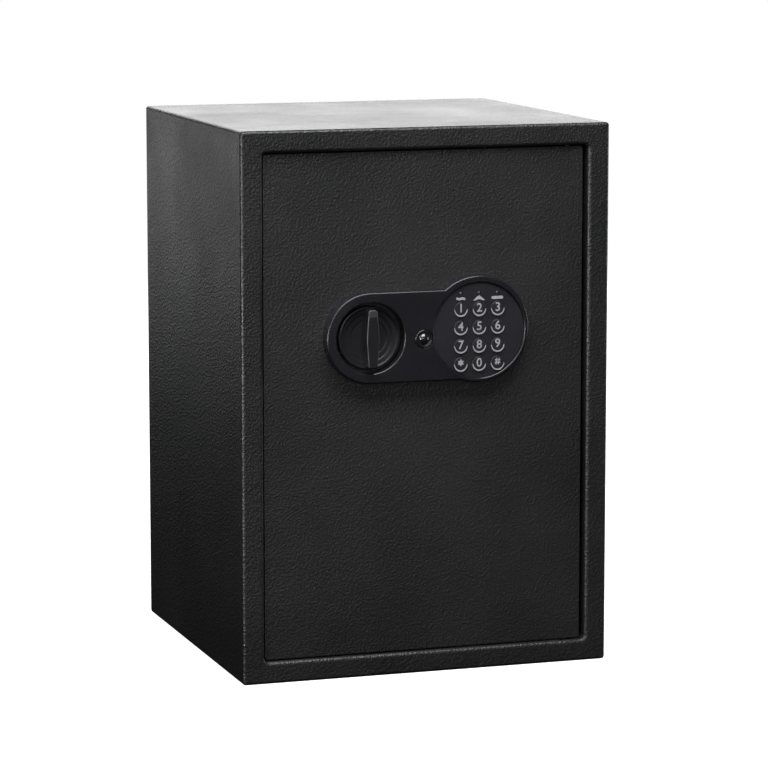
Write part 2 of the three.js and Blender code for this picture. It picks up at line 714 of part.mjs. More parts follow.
// A coil spring round the plunger, between the solenoid and the plunger's strap.
function plungerSpring() {
  const { turns, clearance, wire, endGap } = SPRING;
  const low = PLUNGER.strapTop + endGap;
  const high = SOLENOID.bottom - endGap;
  const coilRadius = PLUNGER.radius + clearance;
  const pointsPerTurn = 10;
  const count = turns * pointsPerTurn;
  const points = [];
  for (let i = 0; i <= count; i += 1) {
    const angle = (i / pointsPerTurn) * 2 * Math.PI;
    const z = low + ((high - low) * i) / count;
    points.push([
      PLUNGER.x + coilRadius * Math.cos(angle), PLUNGER.y + coilRadius * Math.sin(angle), z,
    ]);
  }
  return tube(points, wire, turns * 14);
}

// ---- Battery holder, circuit board and leads -------------------------------------------

function batteryTray() {
  const { left, right, bottom, top, front, wall } = TRAY;
  const box = block([left, front, bottom], [right, PAN_BACK - 0.5, top]);
  const well = block([left + wall, front + wall, bottom + wall], [right - wall, PAN_BACK + 1, top - wall]);
  return cut(box, [well]);
}

// Four cells side by side, every other one upside down.
function batteryCell(index) {
  const { radius, length, pitch, buttonRadius, buttonHeight } = CELL;
  const x = (TRAY.left + TRAY.right) / 2 + (index - 1.5) * pitch;
  const y = TRAY.front + TRAY.wall + GAP + radius;
  const shell = barZ(0, 0, radius, -length / 2, length / 2 - buttonHeight, 20);
  const button = barZ(0, 0, buttonRadius, 0, length / 2, 12);
  const isUpsideDown = index % 2 === 1;
  const cell = join([shell, button]).rotateX(isUpsideDown ? Math.PI : 0);
  return cell.translate(x, y, (TRAY.bottom + TRAY.top) / 2);
}

function batteryContacts(isUpper) {
  const { left, right, bottom, top, wall } = TRAY;
  const inner = wall + GAP;
  const z = isUpper ? top - inner - 1 : bottom + inner;
  return block([left + inner + 2, TRAY.front + 4, z], [right - inner - 2, TRAY.front + 14, z + 1]);
}

// The cover over the battery holder, with a ridge to pull it off by.
function batteryCover() {
  const { margin, thickness, edge, ridge, ridgeWidth, ridgeHalfLength } = BATTERY_COVER;
  const { left, right, bottom, top } = TRAY;
  const face = PAN_BACK + GAP;
  const ring = (grow) => roundedRing(left - grow, right + grow, bottom - grow, top + grow, 3);
  const plate = loft([
    { ring: ring(margin - edge), y: face + thickness },
    { ring: ring(margin), y: face + thickness - edge },
    { ring: ring(margin), y: face },
  ]);
  const grip = block(
    [-ridgeHalfLength, face + 1, top - ridgeWidth],
    [ridgeHalfLength, face + thickness + ridge, top],
  );
  return join([plate, grip]);
}

function resetButton() {
  const { x, z, radius, travel } = RESET;
  return turned(x, z, [
    [0, PAN_FLOOR - 5],
    [radius - 1, PAN_FLOOR - 5],
    [radius - 1, PAN_FLOOR - 2 * GAP - 1.2],
    [radius + 1, PAN_FLOOR - 2 * GAP - 1.2],
    [radius + 1, PAN_FLOOR - GAP],
    [radius, PAN_FLOOR - GAP],
    [radius, PAN_BACK + travel],
    [radius - 0.8, PAN_BACK + travel + 0.8],
    [0, PAN_BACK + travel + 0.8],
  ], 20);
}

function lockBoard() {
  const { left, right, bottom, top, front, thickness } = LOCK_BOARD;
  return block([left, front, bottom], [right, front + thickness, top]);
}

// The keypad's cable, from its board back through the door plate to the lock's board.
function keypadCable() {
  const start = KEYPAD_BOARD_FRONT + KEYPAD_BOARD_THICKNESS + GAP;
  return tube([
    [CABLE.x, start, CABLE.z],
    [CABLE.x, DOOR_FRONT, CABLE.z],
    [CABLE.x, DOOR_BACK, CABLE.z],
    [CABLE.x + CABLE.drift, LOCK_BOARD.front - 5, CABLE.z + CABLE.drift],
    [CABLE.x + CABLE.drift, LOCK_BOARD.front - 2, CABLE.z + CABLE.drift],
    [CABLE.x + CABLE.drift, LOCK_BOARD.front - 2 * GAP, CABLE.z + CABLE.drift],
  ], CABLE.radius, 16);
}

// The lead from the battery holder up to the lock's board.
function batteryLead() {
  const { x, radius, drift } = LEAD;
  const y = LOCK_BOARD.front + LOCK_BOARD.thickness / 2;
  return tube([
    [x, y, TRAY.top + GAP],
    [x, y, TRAY.top + 30],
    [x + drift * 0.8, y, TRAY.top + 65],
    [x + drift, y, LOCK_BOARD.bottom - 25],
    [x + drift, y, LOCK_BOARD.bottom - GAP],
  ], radius, 24);
}

// ---- Assembly -------------------------------------------------------------------------

addPiece('cabinet_shell', cabinetShell(), FINISH.paint);
addPiece('back_panel', backPanel(), FINISH.paint);
addPiece('hinge_block_upper', hingeBlock(true), FINISH.paint);
addPiece('hinge_block_lower', hingeBlock(false), FINISH.paint);
addPiece('shelf_rail_left', shelfRail(-1), FINISH.paint);
addPiece('shelf_rail_right', shelfRail(1), FINISH.paint);
addPiece('floor_mat', floorMat(), FINISH.rubber);
addPiece('shelf', shelf(), FINISH.paint);

addPiece('door_plate', doorPlate(), FINISH.paint);
addPiece('door_pan', doorPan(), FINISH.paint);
addPiece('hinge_lug_upper', hingeLug(true), FINISH.steel);
addPiece('hinge_lug_lower', hingeLug(false), FINISH.steel);
BOLT_Z.forEach((z, index) => {
  const place = ['lower', 'upper'][index];
  addPiece(`bolt_guide_${place}`, boltGuide(z), FINISH.zinc);
  addPiece(`bolt_${place}`, liveBolt(z), FINISH.steel);
});
panScrewPlaces().forEach(([x, z], index) => {
  addPiece(`pan_screw_${index + 1}`, panScrew(x, z), FINISH.zinc);
});

addPiece('faceplate', faceplate(), FINISH.plastic);
addPiece('keypad_plate', keypadPlate(), FINISH.plastic);
addPiece('keypad_sheet', keypadLayer(KEYPAD_SHEET_FRONT, 1), FINISH.rubber);
addPiece('keypad_board', keypadLayer(KEYPAD_BOARD_FRONT, KEYPAD_BOARD_THICKNESS), FINISH.board);
keyPlaces().forEach(({ name, x, z }) => addPiece(`key_${name}`, key(x, z), FINISH.plastic));
lampPlaces().forEach(({ name, x, z }) => addPiece(`lamp_${name}`, lamp(x, z), FINISH.lens));

addPiece('knob', knob(), FINISH.plastic);
addPiece('knob_spindle', knobSpindle(), FINISH.zinc);
addPiece('bolt_carriage', boltCarriage(), FINISH.zinc);

addPiece('keyhole_cover', keyholeCover(), FINISH.plastic);
addPiece('lock_body', lockBody(), FINISH.zinc);
addPiece('lock_plug', lockPlug(), FINISH.brass);
addPiece('plunger', plunger(), FINISH.steel);
addPiece('plunger_spring', plungerSpring(), FINISH.steel);
addPiece('solenoid_body', solenoidBody(), FINISH.zinc);

addPiece('battery_tray', batteryTray(), FINISH.plastic);
[0, 1, 2, 3].forEach((index) => addPiece(`battery_cell_${index + 1}`, batteryCell(index), FINISH.cell));
addPiece('battery_contacts_upper', batteryContacts(true), FINISH.zinc);
addPiece('battery_contacts_lower', batteryContacts(false), FINISH.zinc);
addPiece('battery_cover', batteryCover(), FINISH.plastic);
addPiece('reset_button', resetButton(), FINISH.red);
addPiece('lock_board', lockBoard(), FINISH.board);
addPiece('keypad_cable', keypadCable(), FINISH.lead);
addPiece('battery_lead', batteryLead(), FINISH.lead);

export default safe;
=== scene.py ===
"""The in-room safe's looks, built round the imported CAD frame. Metres, +X right, +Y back, +Z up."""

import json
import math

import bmesh
import bpy
from mathutils import Matrix, Vector


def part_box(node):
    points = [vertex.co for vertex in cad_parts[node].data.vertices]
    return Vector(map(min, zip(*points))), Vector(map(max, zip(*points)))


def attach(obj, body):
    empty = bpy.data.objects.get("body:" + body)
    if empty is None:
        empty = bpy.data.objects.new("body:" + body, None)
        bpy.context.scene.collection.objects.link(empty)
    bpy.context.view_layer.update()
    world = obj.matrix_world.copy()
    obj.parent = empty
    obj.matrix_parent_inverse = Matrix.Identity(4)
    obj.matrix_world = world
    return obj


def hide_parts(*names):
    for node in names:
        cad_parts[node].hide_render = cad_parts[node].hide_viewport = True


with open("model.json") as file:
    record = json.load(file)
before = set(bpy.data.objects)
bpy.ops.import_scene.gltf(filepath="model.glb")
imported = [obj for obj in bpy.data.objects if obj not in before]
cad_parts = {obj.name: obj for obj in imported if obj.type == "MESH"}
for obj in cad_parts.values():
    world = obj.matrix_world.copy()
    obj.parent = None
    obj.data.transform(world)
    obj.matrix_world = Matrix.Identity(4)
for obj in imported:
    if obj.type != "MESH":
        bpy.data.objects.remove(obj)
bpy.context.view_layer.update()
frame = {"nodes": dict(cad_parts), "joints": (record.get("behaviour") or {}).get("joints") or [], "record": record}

MM = 0.001
KEY_NAMES = ["1", "2", "3", "4", "5", "6", "7", "8", "9", "star", "0", "hash"]
LAMP_NAMES = ["left", "middle", "right"]

# ---- Camera and light -----------------------------------------------------------------

CAMERA_AZIMUTH = math.radians(-18.29)
CAMERA_ELEVATION = math.radians(8.62)
CAMERA_DISTANCE = 3.369
CAMERA_TARGET = Vector((0.0129, 0.0, 0.2428))
CAMERA_LENS = 166.1
SENSOR_WIDTH = 36.0
CLIP_END = 60.0
WORLD_FILL = 0.004
WHITE = (1.0, 1.0, 1.0, 1.0)

# Name, place, point that it faces, width and height, and watts.
SOFT_LIGHTS = [
    ("back_panel", (0.9, 2.6, 1.15), (0.9, 0.0, 0.6), (2.4, 1.2), 27),
    ("back_low", (-1.05, 2.7, 0.26), (-0.9, 0.0, 0.26), (1.4, 0.48), 2.0),
    ("overhead", (-0.1, -0.75, 1.58), (0.0, 0.0, 0.35), (1.2, 0.8), 28),
    ("top_left", (-0.9, -0.7, 1.5), (0.0, 0.0, 0.3), (0.6, 0.6), 7),
    ("camera_side", (-1.3, -4.2, 1.1), (0.0, 0.0, 0.25), (1.6, 1.1), 26),
    ("front_fill", (-0.2, -4.4, 0.6), (0.0, 0.0, 0.25), (3.0, 1.6), 9),
    ("key", (-1.9, -2.7, 1.65), (0.0, 0.0, 0.3), (0.4, 0.4), 7),
]
EDGE_LIGHTS = [
    ("left_strip", (-1.2, -0.75, 0.27), (0.0, 0.0, 0.27), (0.35, 0.5), 10.0),
    ("right_strip", (1.3, -0.15, 0.27), (0.0, 0.0, 0.27), (0.3, 0.5), 3.0),
]


def aim(obj, target):
    obj.rotation_euler = (Vector(target) - obj.location).to_track_quat("-Z", "Y").to_euler()


def make_camera():
    back = Vector((
        math.sin(CAMERA_AZIMUTH) * math.cos(CAMERA_ELEVATION),
        -math.cos(CAMERA_AZIMUTH) * math.cos(CAMERA_ELEVATION),
        math.sin(CAMERA_ELEVATION),
    ))
    data = bpy.data.cameras.new("camera")
    data.lens = CAMERA_LENS
    data.sensor_width = SENSOR_WIDTH
    data.clip_end = CLIP_END
    camera = bpy.data.objects.new("camera", data)
    bpy.context.scene.collection.objects.link(camera)
    camera.location = CAMERA_TARGET + back * CAMERA_DISTANCE
    aim(camera, CAMERA_TARGET)
    bpy.context.scene.camera = camera


def area_light(name, place, target, size, power, highlight_only=False):
    """A rectangular light. One that is highlight_only shows in shine but adds no plain brightness."""
    data = bpy.data.lights.new(name, "AREA")
    data.shape = "RECTANGLE"
    data.size, data.size_y = size
    data.energy = power
    light = bpy.data.objects.new(name, data)
    bpy.context.scene.collection.objects.link(light)
    light.location = place
    light.visible_camera = False
    light.visible_diffuse = not highlight_only
    aim(light, target)


def seen_and_cast(tree, seen, cast):
    """A shader that the camera sees as `seen` and that the light in the scene sees as `cast`."""
    path = tree.nodes.new("ShaderNodeLightPath")
    mix = tree.nodes.new("ShaderNodeMixShader")
    tree.links.new(path.outputs["Is Camera Ray"], mix.inputs["Fac"])
    tree.links.new(cast, mix.inputs[1])
    tree.links.new(seen, mix.inputs[2])
    return mix.outputs["Shader"]


def backdrop(tree, brightness):
    node = tree.nodes.new("ShaderNodeBackground")
    node.inputs["Color"].default_value = WHITE
    node.inputs["Strength"].default_value = brightness
    return node.outputs["Background"]


def make_studio():
    world = bpy.data.worlds.new("studio")
    world.use_nodes = True
    tree = world.node_tree
    tree.nodes.clear()
    output = tree.nodes.new("ShaderNodeOutputWorld")
    shader = seen_and_cast(tree, backdrop(tree, 1.0), backdrop(tree, WORLD_FILL))
    tree.links.new(shader, output.inputs["Surface"])
    bpy.context.scene.world = world
    bpy.context.scene.view_settings.view_transform = "Standard"

    for light in SOFT_LIGHTS:
        area_light(*light)
    for light in EDGE_LIGHTS:
        area_light(*light, highlight_only=True)


# ---- Mesh helpers ---------------------------------------------------------------------


def add_object(name, mesh, material):
    obj = bpy.data.objects.new(name, mesh)
    bpy.context.scene.collection.objects.link(obj)
    if material is not None:
        mesh.materials.append(material)
    return obj


WELD_DISTANCE = 1e-7
CAD_WELD_DISTANCE = 1e-6
AXIS_RADIUS = 1e-9
BEVEL_ANGLE = math.radians(34.0)
SHARP_ANGLE = math.radians(50.0)
FLAT_ANGLE = math.radians(1.0)


def mesh_from(name, points, faces):
    mesh = bpy.data.meshes.new(name)
    mesh.from_pydata([tuple(point) for point in points], [], faces)
    tidy = bmesh.new()
    tidy.from_mesh(mesh)
    bmesh.ops.remove_doubles(tidy, verts=tidy.verts, dist=WELD_DISTANCE)
    bmesh.ops.recalc_face_normals(tidy, faces=tidy.faces)
    tidy.to_mesh(mesh)
    tidy.free()
    return mesh


def apply_modifiers(obj):
    """Bakes the object's modifiers into its mesh."""
    depsgraph = bpy.context.evaluated_depsgraph_get()
    baked = bpy.data.meshes.new_from_object(obj.evaluated_get(depsgraph), depsgraph=depsgraph)
    obj.modifiers.clear()
    obj.data = baked


def round_edges(obj, width, segments=3):
    """Rounds every sharp edge, then shades the flats flat and the rounds smooth."""
    if width > 0:
        bevel = obj.modifiers.new("round", "BEVEL")
        bevel.width = width
        bevel.segments = segments
        bevel.limit_method = "ANGLE"
        bevel.angle_limit = BEVEL_ANGLE
        apply_modifiers(obj)
    for polygon in obj.data.polygons:
        polygon.use_smooth = True
    obj.data.set_sharp_from_angle(angle=SHARP_ANGLE)
    weighted = obj.modifiers.new("weighted", "WEIGHTED_NORMAL")
    weighted.keep_sharp = True
    weighted.weight = 100
    apply_modifiers(obj)


def cut_with(obj, cutters):
    """Cuts the cutter objects away from obj and deletes them."""
    for cutter in cutters:
        boolean = obj.modifiers.new("cut", "BOOLEAN")
        boolean.operation = "DIFFERENCE"
        boolean.solver = "EXACT"
        boolean.object = cutter
    apply_modifiers(obj)
    for cutter in cutters:
        bpy.data.objects.remove(cutter)


def arc(steps, start=0.0, end=math.pi / 2):
    """Evenly spaced values from start to end, as a rule the angles of a quarter turn."""
    return [start + (end - start) * step / steps for step in range(steps + 1)]


def quarter_round(radius, steps, start=0.0, end=math.pi / 2):
    """How far in and how far down each step of a rounded edge lies."""
    turns = arc(steps, start, end)
    return [(radius * (1 - math.cos(turn)), radius * (1 - math.sin(turn))) for turn in turns]


def around(centre, radius, angle):
    """The (x, z) point at an angle on a circle."""
    return centre.x + radius * math.cos(angle), centre.z + radius * math.sin(angle)


def rounded_ring(left, right, bottom, top, radius, steps=8):
    """A rectangle with round corners as (x, z) points."""
    ring = []
    corners = [
        (right - radius, top - radius), (left + radius, top - radius),
        (left + radius, bottom + radius), (right - radius, bottom + radius),
    ]
    for quarter, (x, z) in enumerate(corners):
        for angle in arc(steps):
            turn = angle + quarter * math.pi / 2
            ring.append((x + radius * math.cos(turn), z + radius * math.sin(turn)))
    return ring


def loft(name, layers, material, closed=False):
    """Joins rings of (x, z) points, each at its own y, end to end or with capped ends."""
    count = len(layers[0][0])
    points = [(x, y, z) for ring, y in layers for x, z in ring]
    faces = []
    spans = len(layers) if closed else len(layers) - 1
    for layer in range(spans):
        here = layer * count
        after = (layer + 1) % len(layers) * count
        for i in range(count):
            j = (i + 1) % count
            faces.append((here + i, here + j, after + j, after + i))
    if not closed:
        faces.append(tuple(range(count)))
        faces.append(tuple(range(len(points) - count, len(points))))
    return add_object(name, mesh_from(name, points, faces), material)


def turned(name, centre, profile, material, sides=64, axis="Y"):
    """A turned piece. The profile lists (radius, distance along the axis)."""
    points, rows = [], []
    for radius, along in profile:
        row = []
        for side in range(sides if radius > AXIS_RADIUS else 1):
            turn = 2 * math.pi * side / sides
            across = (radius * math.cos(turn), radius * math.sin(turn))
            row.append(len(points))
            if axis == "Y":
                points.append((centre[0] + across[0], along, centre[1] + across[1]))
            elif axis == "X":
                points.append((along, centre[0] + across[0], centre[1] + across[1]))
            else:
                points.append((centre[0] + across[0], centre[1] + across[1], along))
        rows.append(row)
    faces = []
    for low, high in zip(rows, rows[1:]):
        for i in range(sides):
            j = (i + 1) % sides
            if len(low) == 1 and len(high) == 1:
                continue
            if len(low) == 1:
                faces.append((low[0], high[j], high[i]))
            elif len(high) == 1:
                faces.append((low[i], low[j], high[0]))
            else:
                faces.append((low[i], low[j], high[j], high[i]))
    return add_object(name, mesh_from(name, points, faces), material)


BOX_FACES = [(0, 1, 3, 2), (4, 6, 7, 5), (0, 4, 5, 1), (2, 3, 7, 6), (0, 2, 6, 4), (1, 5, 7, 3)]


def box_corners(low, high):
    return [(x, y, z) for x in (low[0], high[0]) for y in (low[1], high[1]) for z in (low[2], high[2])]


def rod(name, centre, radius, span, sides=64, axis="Y"):
    """A plain round cutter along an axis, between the two ends of a span."""
    profile = [(0, span[0]), (radius, span[0]), (radius, span[1]), (0, span[1])]
    return turned(name, centre, profile, None, sides, axis)


def block(name, low, high, material=None):
    """A cutter or blank between two corners; round_edges gives it its finished edges."""
    return add_object(name, mesh_from(name, box_corners(low, high), BOX_FACES), material)


def dress(obj, body, slot, *nodes):
    """Puts a finished piece on its body and hides the CAD nodes that it stands for. The slot is not used."""
    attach(obj, body)
    if nodes:
        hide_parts(*nodes)


# ---- Materials ------------------------------------------------------------------------


def new_material(name):
    material = bpy.data.materials.new(name)
    material.use_nodes = True
    tree = material.node_tree
    return material, tree, tree.nodes["Principled BSDF"]


def object_place(tree):
    return tree.nodes.new("ShaderNodeTexCoord").outputs["Object"]


def noise(tree, place, scale, detail=2.0, roughness=0.5):
    """A noise texture with a feature about 1 / scale metres across."""
    node = tree.nodes.new("ShaderNodeTexNoise")
    node.inputs["Scale"].default_value = scale
    node.inputs["Detail"].default_value = detail
    node.inputs["Roughness"].default_value = roughness
    tree.links.new(place, node.inputs["Vector"])
    return node.outputs["Fac"]


def spread(tree, value, low, high, from_low=0.3, from_high=0.7):
    """Maps a value that varies over the surface to a range."""
    node = tree.nodes.new("ShaderNodeMapRange")
    node.inputs["From Min"].default_value = from_low
    node.inputs["From Max"].default_value = from_high
    node.inputs["To Min"].default_value = low
    node.inputs["To Max"].default_value = high
    tree.links.new(value, node.inputs["Value"])
    return node.outputs["Result"]


def two_tone(tree, factor, dark, light):
    ramp = tree.nodes.new("ShaderNodeMix")
    ramp.data_type = "RGBA"
    ramp.inputs["A"].default_value = (*dark, 1.0)
    ramp.inputs["B"].default_value = (*light, 1.0)
    tree.links.new(factor, ramp.inputs["Factor"])
    return ramp.outputs["Result"]


def bump(tree, shader, height, distance, strength=1.0, below=None):
    node = tree.nodes.new("ShaderNodeBump")
    node.inputs["Distance"].default_value = distance
    node.inputs["Strength"].default_value = strength
    tree.links.new(height, node.inputs["Height"])
    if below is not None:
        tree.links.new(below, node.inputs["Normal"])
    tree.links.new(node.outputs["Normal"], shader.inputs["Normal"])
    return node.outputs["Normal"]


# Blender's pointiness where a surface starts to count as an edge, and where it's fully one.
EDGE_STARTS = 0.515
EDGE_FULL = 0.58


def painted_edge_highlight(tree, amount):
    """How sharply the surface turns outward at a point, from 0 to amount: the mask of a painted edge highlight."""
    geometry = tree.nodes.new("ShaderNodeNewGeometry")
    return spread(tree, geometry.outputs["Pointiness"], 0.0, amount, EDGE_STARTS, EDGE_FULL)


def pebbles(tree, place, scale, smoothness=0.6):
    """Rounded pebble-like bumps about 1 / scale metres across."""
    node = tree.nodes.new("ShaderNodeTexVoronoi")
    node.feature = "SMOOTH_F1"
    node.inputs["Scale"].default_value = scale
    node.inputs["Smoothness"].default_value = smoothness
    tree.links.new(place, node.inputs["Vector"])
    return node.outputs["Distance"]


def powder_coat():
    """Black powder coat with a pebbled surface, painted a lighter grey along its sharp edges as a painted
    highlight.
    """
    material, tree, shader = new_material("powder_coat")
    place = object_place(tree)
    patches = noise(tree, place, 9.0, 4.0, 0.6)
    dark, light = (0.0125, 0.0128, 0.0135), (0.019, 0.019, 0.0198)
    tone = two_tone(tree, spread(tree, patches, 0.0, 1.0), dark, light)
    # Sharp outward edges are mixed toward a lighter grey: a painted highlight standing in for the shine that the
    # bends catch.
    edge_highlight_mix = tree.nodes.new("ShaderNodeMix")
    edge_highlight_mix.data_type = "RGBA"
    edge_highlight_mix.inputs["B"].default_value = (0.06, 0.06, 0.062, 1.0)
    tree.links.new(painted_edge_highlight(tree, 0.5), edge_highlight_mix.inputs["Factor"])
    tree.links.new(tone, edge_highlight_mix.inputs["A"])
    tree.links.new(edge_highlight_mix.outputs["Result"], shader.inputs["Base Color"])
    tree.links.new(spread(tree, patches, 0.33, 0.42), shader.inputs["Roughness"])
    shader.inputs["Specular IOR Level"].default_value = 0.5
    first = bump(tree, shader, pebbles(tree, place, 490.0), 0.0004, 1.0)
    second = bump(tree, shader, noise(tree, place, 1200.0, 2.0, 0.6), 0.0001, 1.0, below=first)
    bump(tree, shader, noise(tree, place, 2600.0), 0.00002, 0.6, below=second)
    return material


def moulded_plastic(name, dark, light, rough, gloss=0.5):
    """Satin moulded plastic with a fine spark-eroded grain and faint handling marks."""
    material, tree, shader = new_material(name)
    place = object_place(tree)
    patches = noise(tree, place, 22.0, 3.0, 0.6)
    tone = two_tone(tree, spread(tree, patches, 0.0, 1.0), dark, light)
    tree.links.new(tone, shader.inputs["Base Color"])
    tree.links.new(spread(tree, patches, rough * 0.88, rough * 1.15), shader.inputs["Roughness"])
    shader.inputs["Specular IOR Level"].default_value = gloss
    bump(tree, shader, noise(tree, place, 3000.0, 1.0), 0.00002, 0.7)
    return material


def print_and_painted_sheen(name, colour):
    """Matt flat colour, slightly uneven in its cover: printed ink in white, and in grey a painted reflection on
    the grip.
    """
    material, tree, shader = new_material(name)
    place = object_place(tree)
    cover = noise(tree, place, 900.0, 2.0)
    darker = tuple(part * 0.88 for part in colour)
    tone = two_tone(tree, spread(tree, cover, 0.0, 1.0), darker, colour)
    tree.links.new(tone, shader.inputs["Base Color"])
    tree.links.new(spread(tree, cover, 0.42, 0.55), shader.inputs["Roughness"])
    bump(tree, shader, cover, 0.00001, 0.5)
    return material


def brushed_metal(name, dark, light, rough, stretch=(1.0, 1.0, 1.0)):
    """Bare or plated metal whose brush marks are drawn out along one direction."""
    material, tree, shader = new_material(name)
    mapping = tree.nodes.new("ShaderNodeMapping")
    mapping.inputs["Scale"].default_value = stretch
    place = object_place(tree)
    tree.links.new(place, mapping.inputs["Vector"])
    marks = noise(tree, mapping.outputs["Vector"], 900.0, 4.0, 0.7)
    stains = noise(tree, place, 60.0, 3.0, 0.6)
    tone = two_tone(tree, spread(tree, stains, 0.0, 1.0), dark, light)
    tree.links.new(tone, shader.inputs["Base Color"])
    shader.inputs["Metallic"].default_value = 1.0
    tree.links.new(spread(tree, marks, rough * 0.75, rough * 1.3), shader.inputs["Roughness"])
    bump(tree, shader, marks, 0.00002, 0.6)
    return material


def ribbed_rubber():
    """Dull black rubber with a dusty bloom."""
    material, tree, shader = new_material("ribbed_rubber")
    place = object_place(tree)
    bloom = noise(tree, place, 45.0, 4.0, 0.65)
    tone = two_tone(tree, spread(tree, bloom, 0.0, 1.0), (0.018, 0.018, 0.018), (0.034, 0.034, 0.035))
    tree.links.new(tone, shader.inputs["Base Color"])
    tree.links.new(spread(tree, bloom, 0.72, 0.86), shader.inputs["Roughness"])
    bump(tree, shader, noise(tree, place, 1500.0, 2.0), 0.00005, 0.8)
    return material


def circuit_board():
    """Solder mask over traces."""
    material, tree, shader = new_material("circuit_board")
    place = object_place(tree)
    traces = tree.nodes.new("ShaderNodeTexBrick")
    traces.inputs["Scale"].default_value = 180.0
    traces.inputs["Color1"].default_value = (0.02, 0.13, 0.05, 1.0)
    traces.inputs["Color2"].default_value = (0.025, 0.16, 0.06, 1.0)
    traces.inputs["Mortar"].default_value = (0.05, 0.24, 0.09, 1.0)
    tree.links.new(place, traces.inputs["Vector"])
    tree.links.new(traces.outputs["Color"], shader.inputs["Base Color"])
    mask = noise(tree, place, 400.0)
    tree.links.new(spread(tree, mask, 0.28, 0.4), shader.inputs["Roughness"])
    bump(tree, shader, mask, 0.00002)
    return material


MATERIALS = {
    "cabinet_paint": powder_coat(),
    "faceplate_plastic": moulded_plastic(
        "faceplate_plastic", (0.0112, 0.011, 0.0142), (0.0152, 0.0149, 0.019), 0.24,
    ),
    "keypad_plastic": moulded_plastic(
        "keypad_plastic", (0.0175, 0.017, 0.0215), (0.022, 0.0215, 0.027), 0.34,
    ),
    "cover_plastic": moulded_plastic(
        "cover_plastic", (0.010, 0.010, 0.0125), (0.014, 0.014, 0.017), 0.12, 1.0,
    ),
    "knob_plastic": moulded_plastic(
        "knob_plastic", (0.0088, 0.0086, 0.0115), (0.0125, 0.0122, 0.0158), 0.33,
    ),
    "key_plastic": moulded_plastic(
        "key_plastic", (0.0165, 0.0163, 0.0205), (0.022, 0.0216, 0.027), 0.36,
    ),
    "white_print": print_and_painted_sheen("white_print", (0.44, 0.44, 0.46)),
    # A grey for the patch on the grip's top end: a painted reflection.
    "grey_painted_sheen": print_and_painted_sheen("grey_painted_sheen", (0.038, 0.038, 0.038)),
    "steel": brushed_metal(
        "turned_steel", (0.50, 0.51, 0.53), (0.66, 0.67, 0.68), 0.26, (0.3, 3.0, 3.0),
    ),
    "black_steel": brushed_metal("black_steel", (0.02, 0.02, 0.022), (0.04, 0.04, 0.042), 0.4),
    "zinc": brushed_metal("zinc_plate", (0.42, 0.43, 0.40), (0.60, 0.60, 0.56), 0.36),
    "brass": brushed_metal("turned_brass", (0.50, 0.36, 0.14), (0.66, 0.49, 0.22), 0.28),
    "mat_rubber": ribbed_rubber(),
    "board": circuit_board(),
    "lamp_lens": moulded_plastic("lamp_lens", (0.05, 0.05, 0.055), (0.09, 0.09, 0.10), 0.14),
    "red_plastic": moulded_plastic("red_plastic", (0.36, 0.012, 0.010), (0.48, 0.020, 0.015), 0.28),
    "cell_jacket": moulded_plastic("cell_jacket", (0.03, 0.034, 0.05), (0.05, 0.056, 0.08), 0.22),
    "inner_plastic": moulded_plastic(
        "inner_plastic", (0.018, 0.018, 0.019), (0.028, 0.028, 0.03), 0.46,
    ),
    "lead_jacket": moulded_plastic(
        "lead_jacket", (0.012, 0.012, 0.012), (0.022, 0.022, 0.022), 0.42,
    ),
}


# ---- Frame lookups --------------------------------------------------------------------

BEHAVIOUR = frame["record"]["behaviour"]
BODY_OF = {node: body for body, nodes in BEHAVIOUR["bodies"].items() for node in nodes}
SLOT_OF = {part["node"]: part["material_slot"] for part in frame["record"]["subparts"]}


def look(node):
    return MATERIALS[SLOT_OF[node]]


def stand_for(obj, node):
    """The piece takes the CAD node's place and body, and the CAD node is hidden."""
    dress(obj, BODY_OF[node], SLOT_OF[node], node)


def refined(node, width, material=None):
    """The CAD node's own shape with its edges rounded and its shading cleaned."""
    mesh = frame["nodes"][node].data.copy()
    mesh.name = node + "_finished"
    mesh.materials.clear()
    tidy = bmesh.new()
    tidy.from_mesh(mesh)
    bmesh.ops.remove_doubles(tidy, verts=tidy.verts, dist=CAD_WELD_DISTANCE)
    bmesh.ops.dissolve_limit(tidy, angle_limit=FLAT_ANGLE, verts=tidy.verts, edges=tidy.edges)
    tidy.to_mesh(mesh)
    tidy.free()
    obj = add_object(node + "_finished", mesh, material or look(node))
    round_edges(obj, width, 2)
    stand_for(obj, node)


# ---- Cabinet --------------------------------------------------------------------------

SHEET = 2 * MM
OUTER_RADIUS = 3 * MM
OUTER_RADIUS_LEAST = 0.8 * MM
FRONT_BEND = 3 * MM
DOORWAY_FOLD = 3.5 * MM
DOORWAY_HALF_WIDTH = 154.5 * MM
DOORWAY_HALF_HEIGHT = 230 * MM
DOORWAY_RADIUS = 4 * MM
LIP_DEPTH = 12 * MM
PIN_NOTCH = 7 * MM
PIN_NOTCH_DEPTH = 3 * MM
ANCHOR_RADIUS = 6 * MM
ANCHOR_SPREAD = 75 * MM
SHELL_EDGE = 0.35 * MM


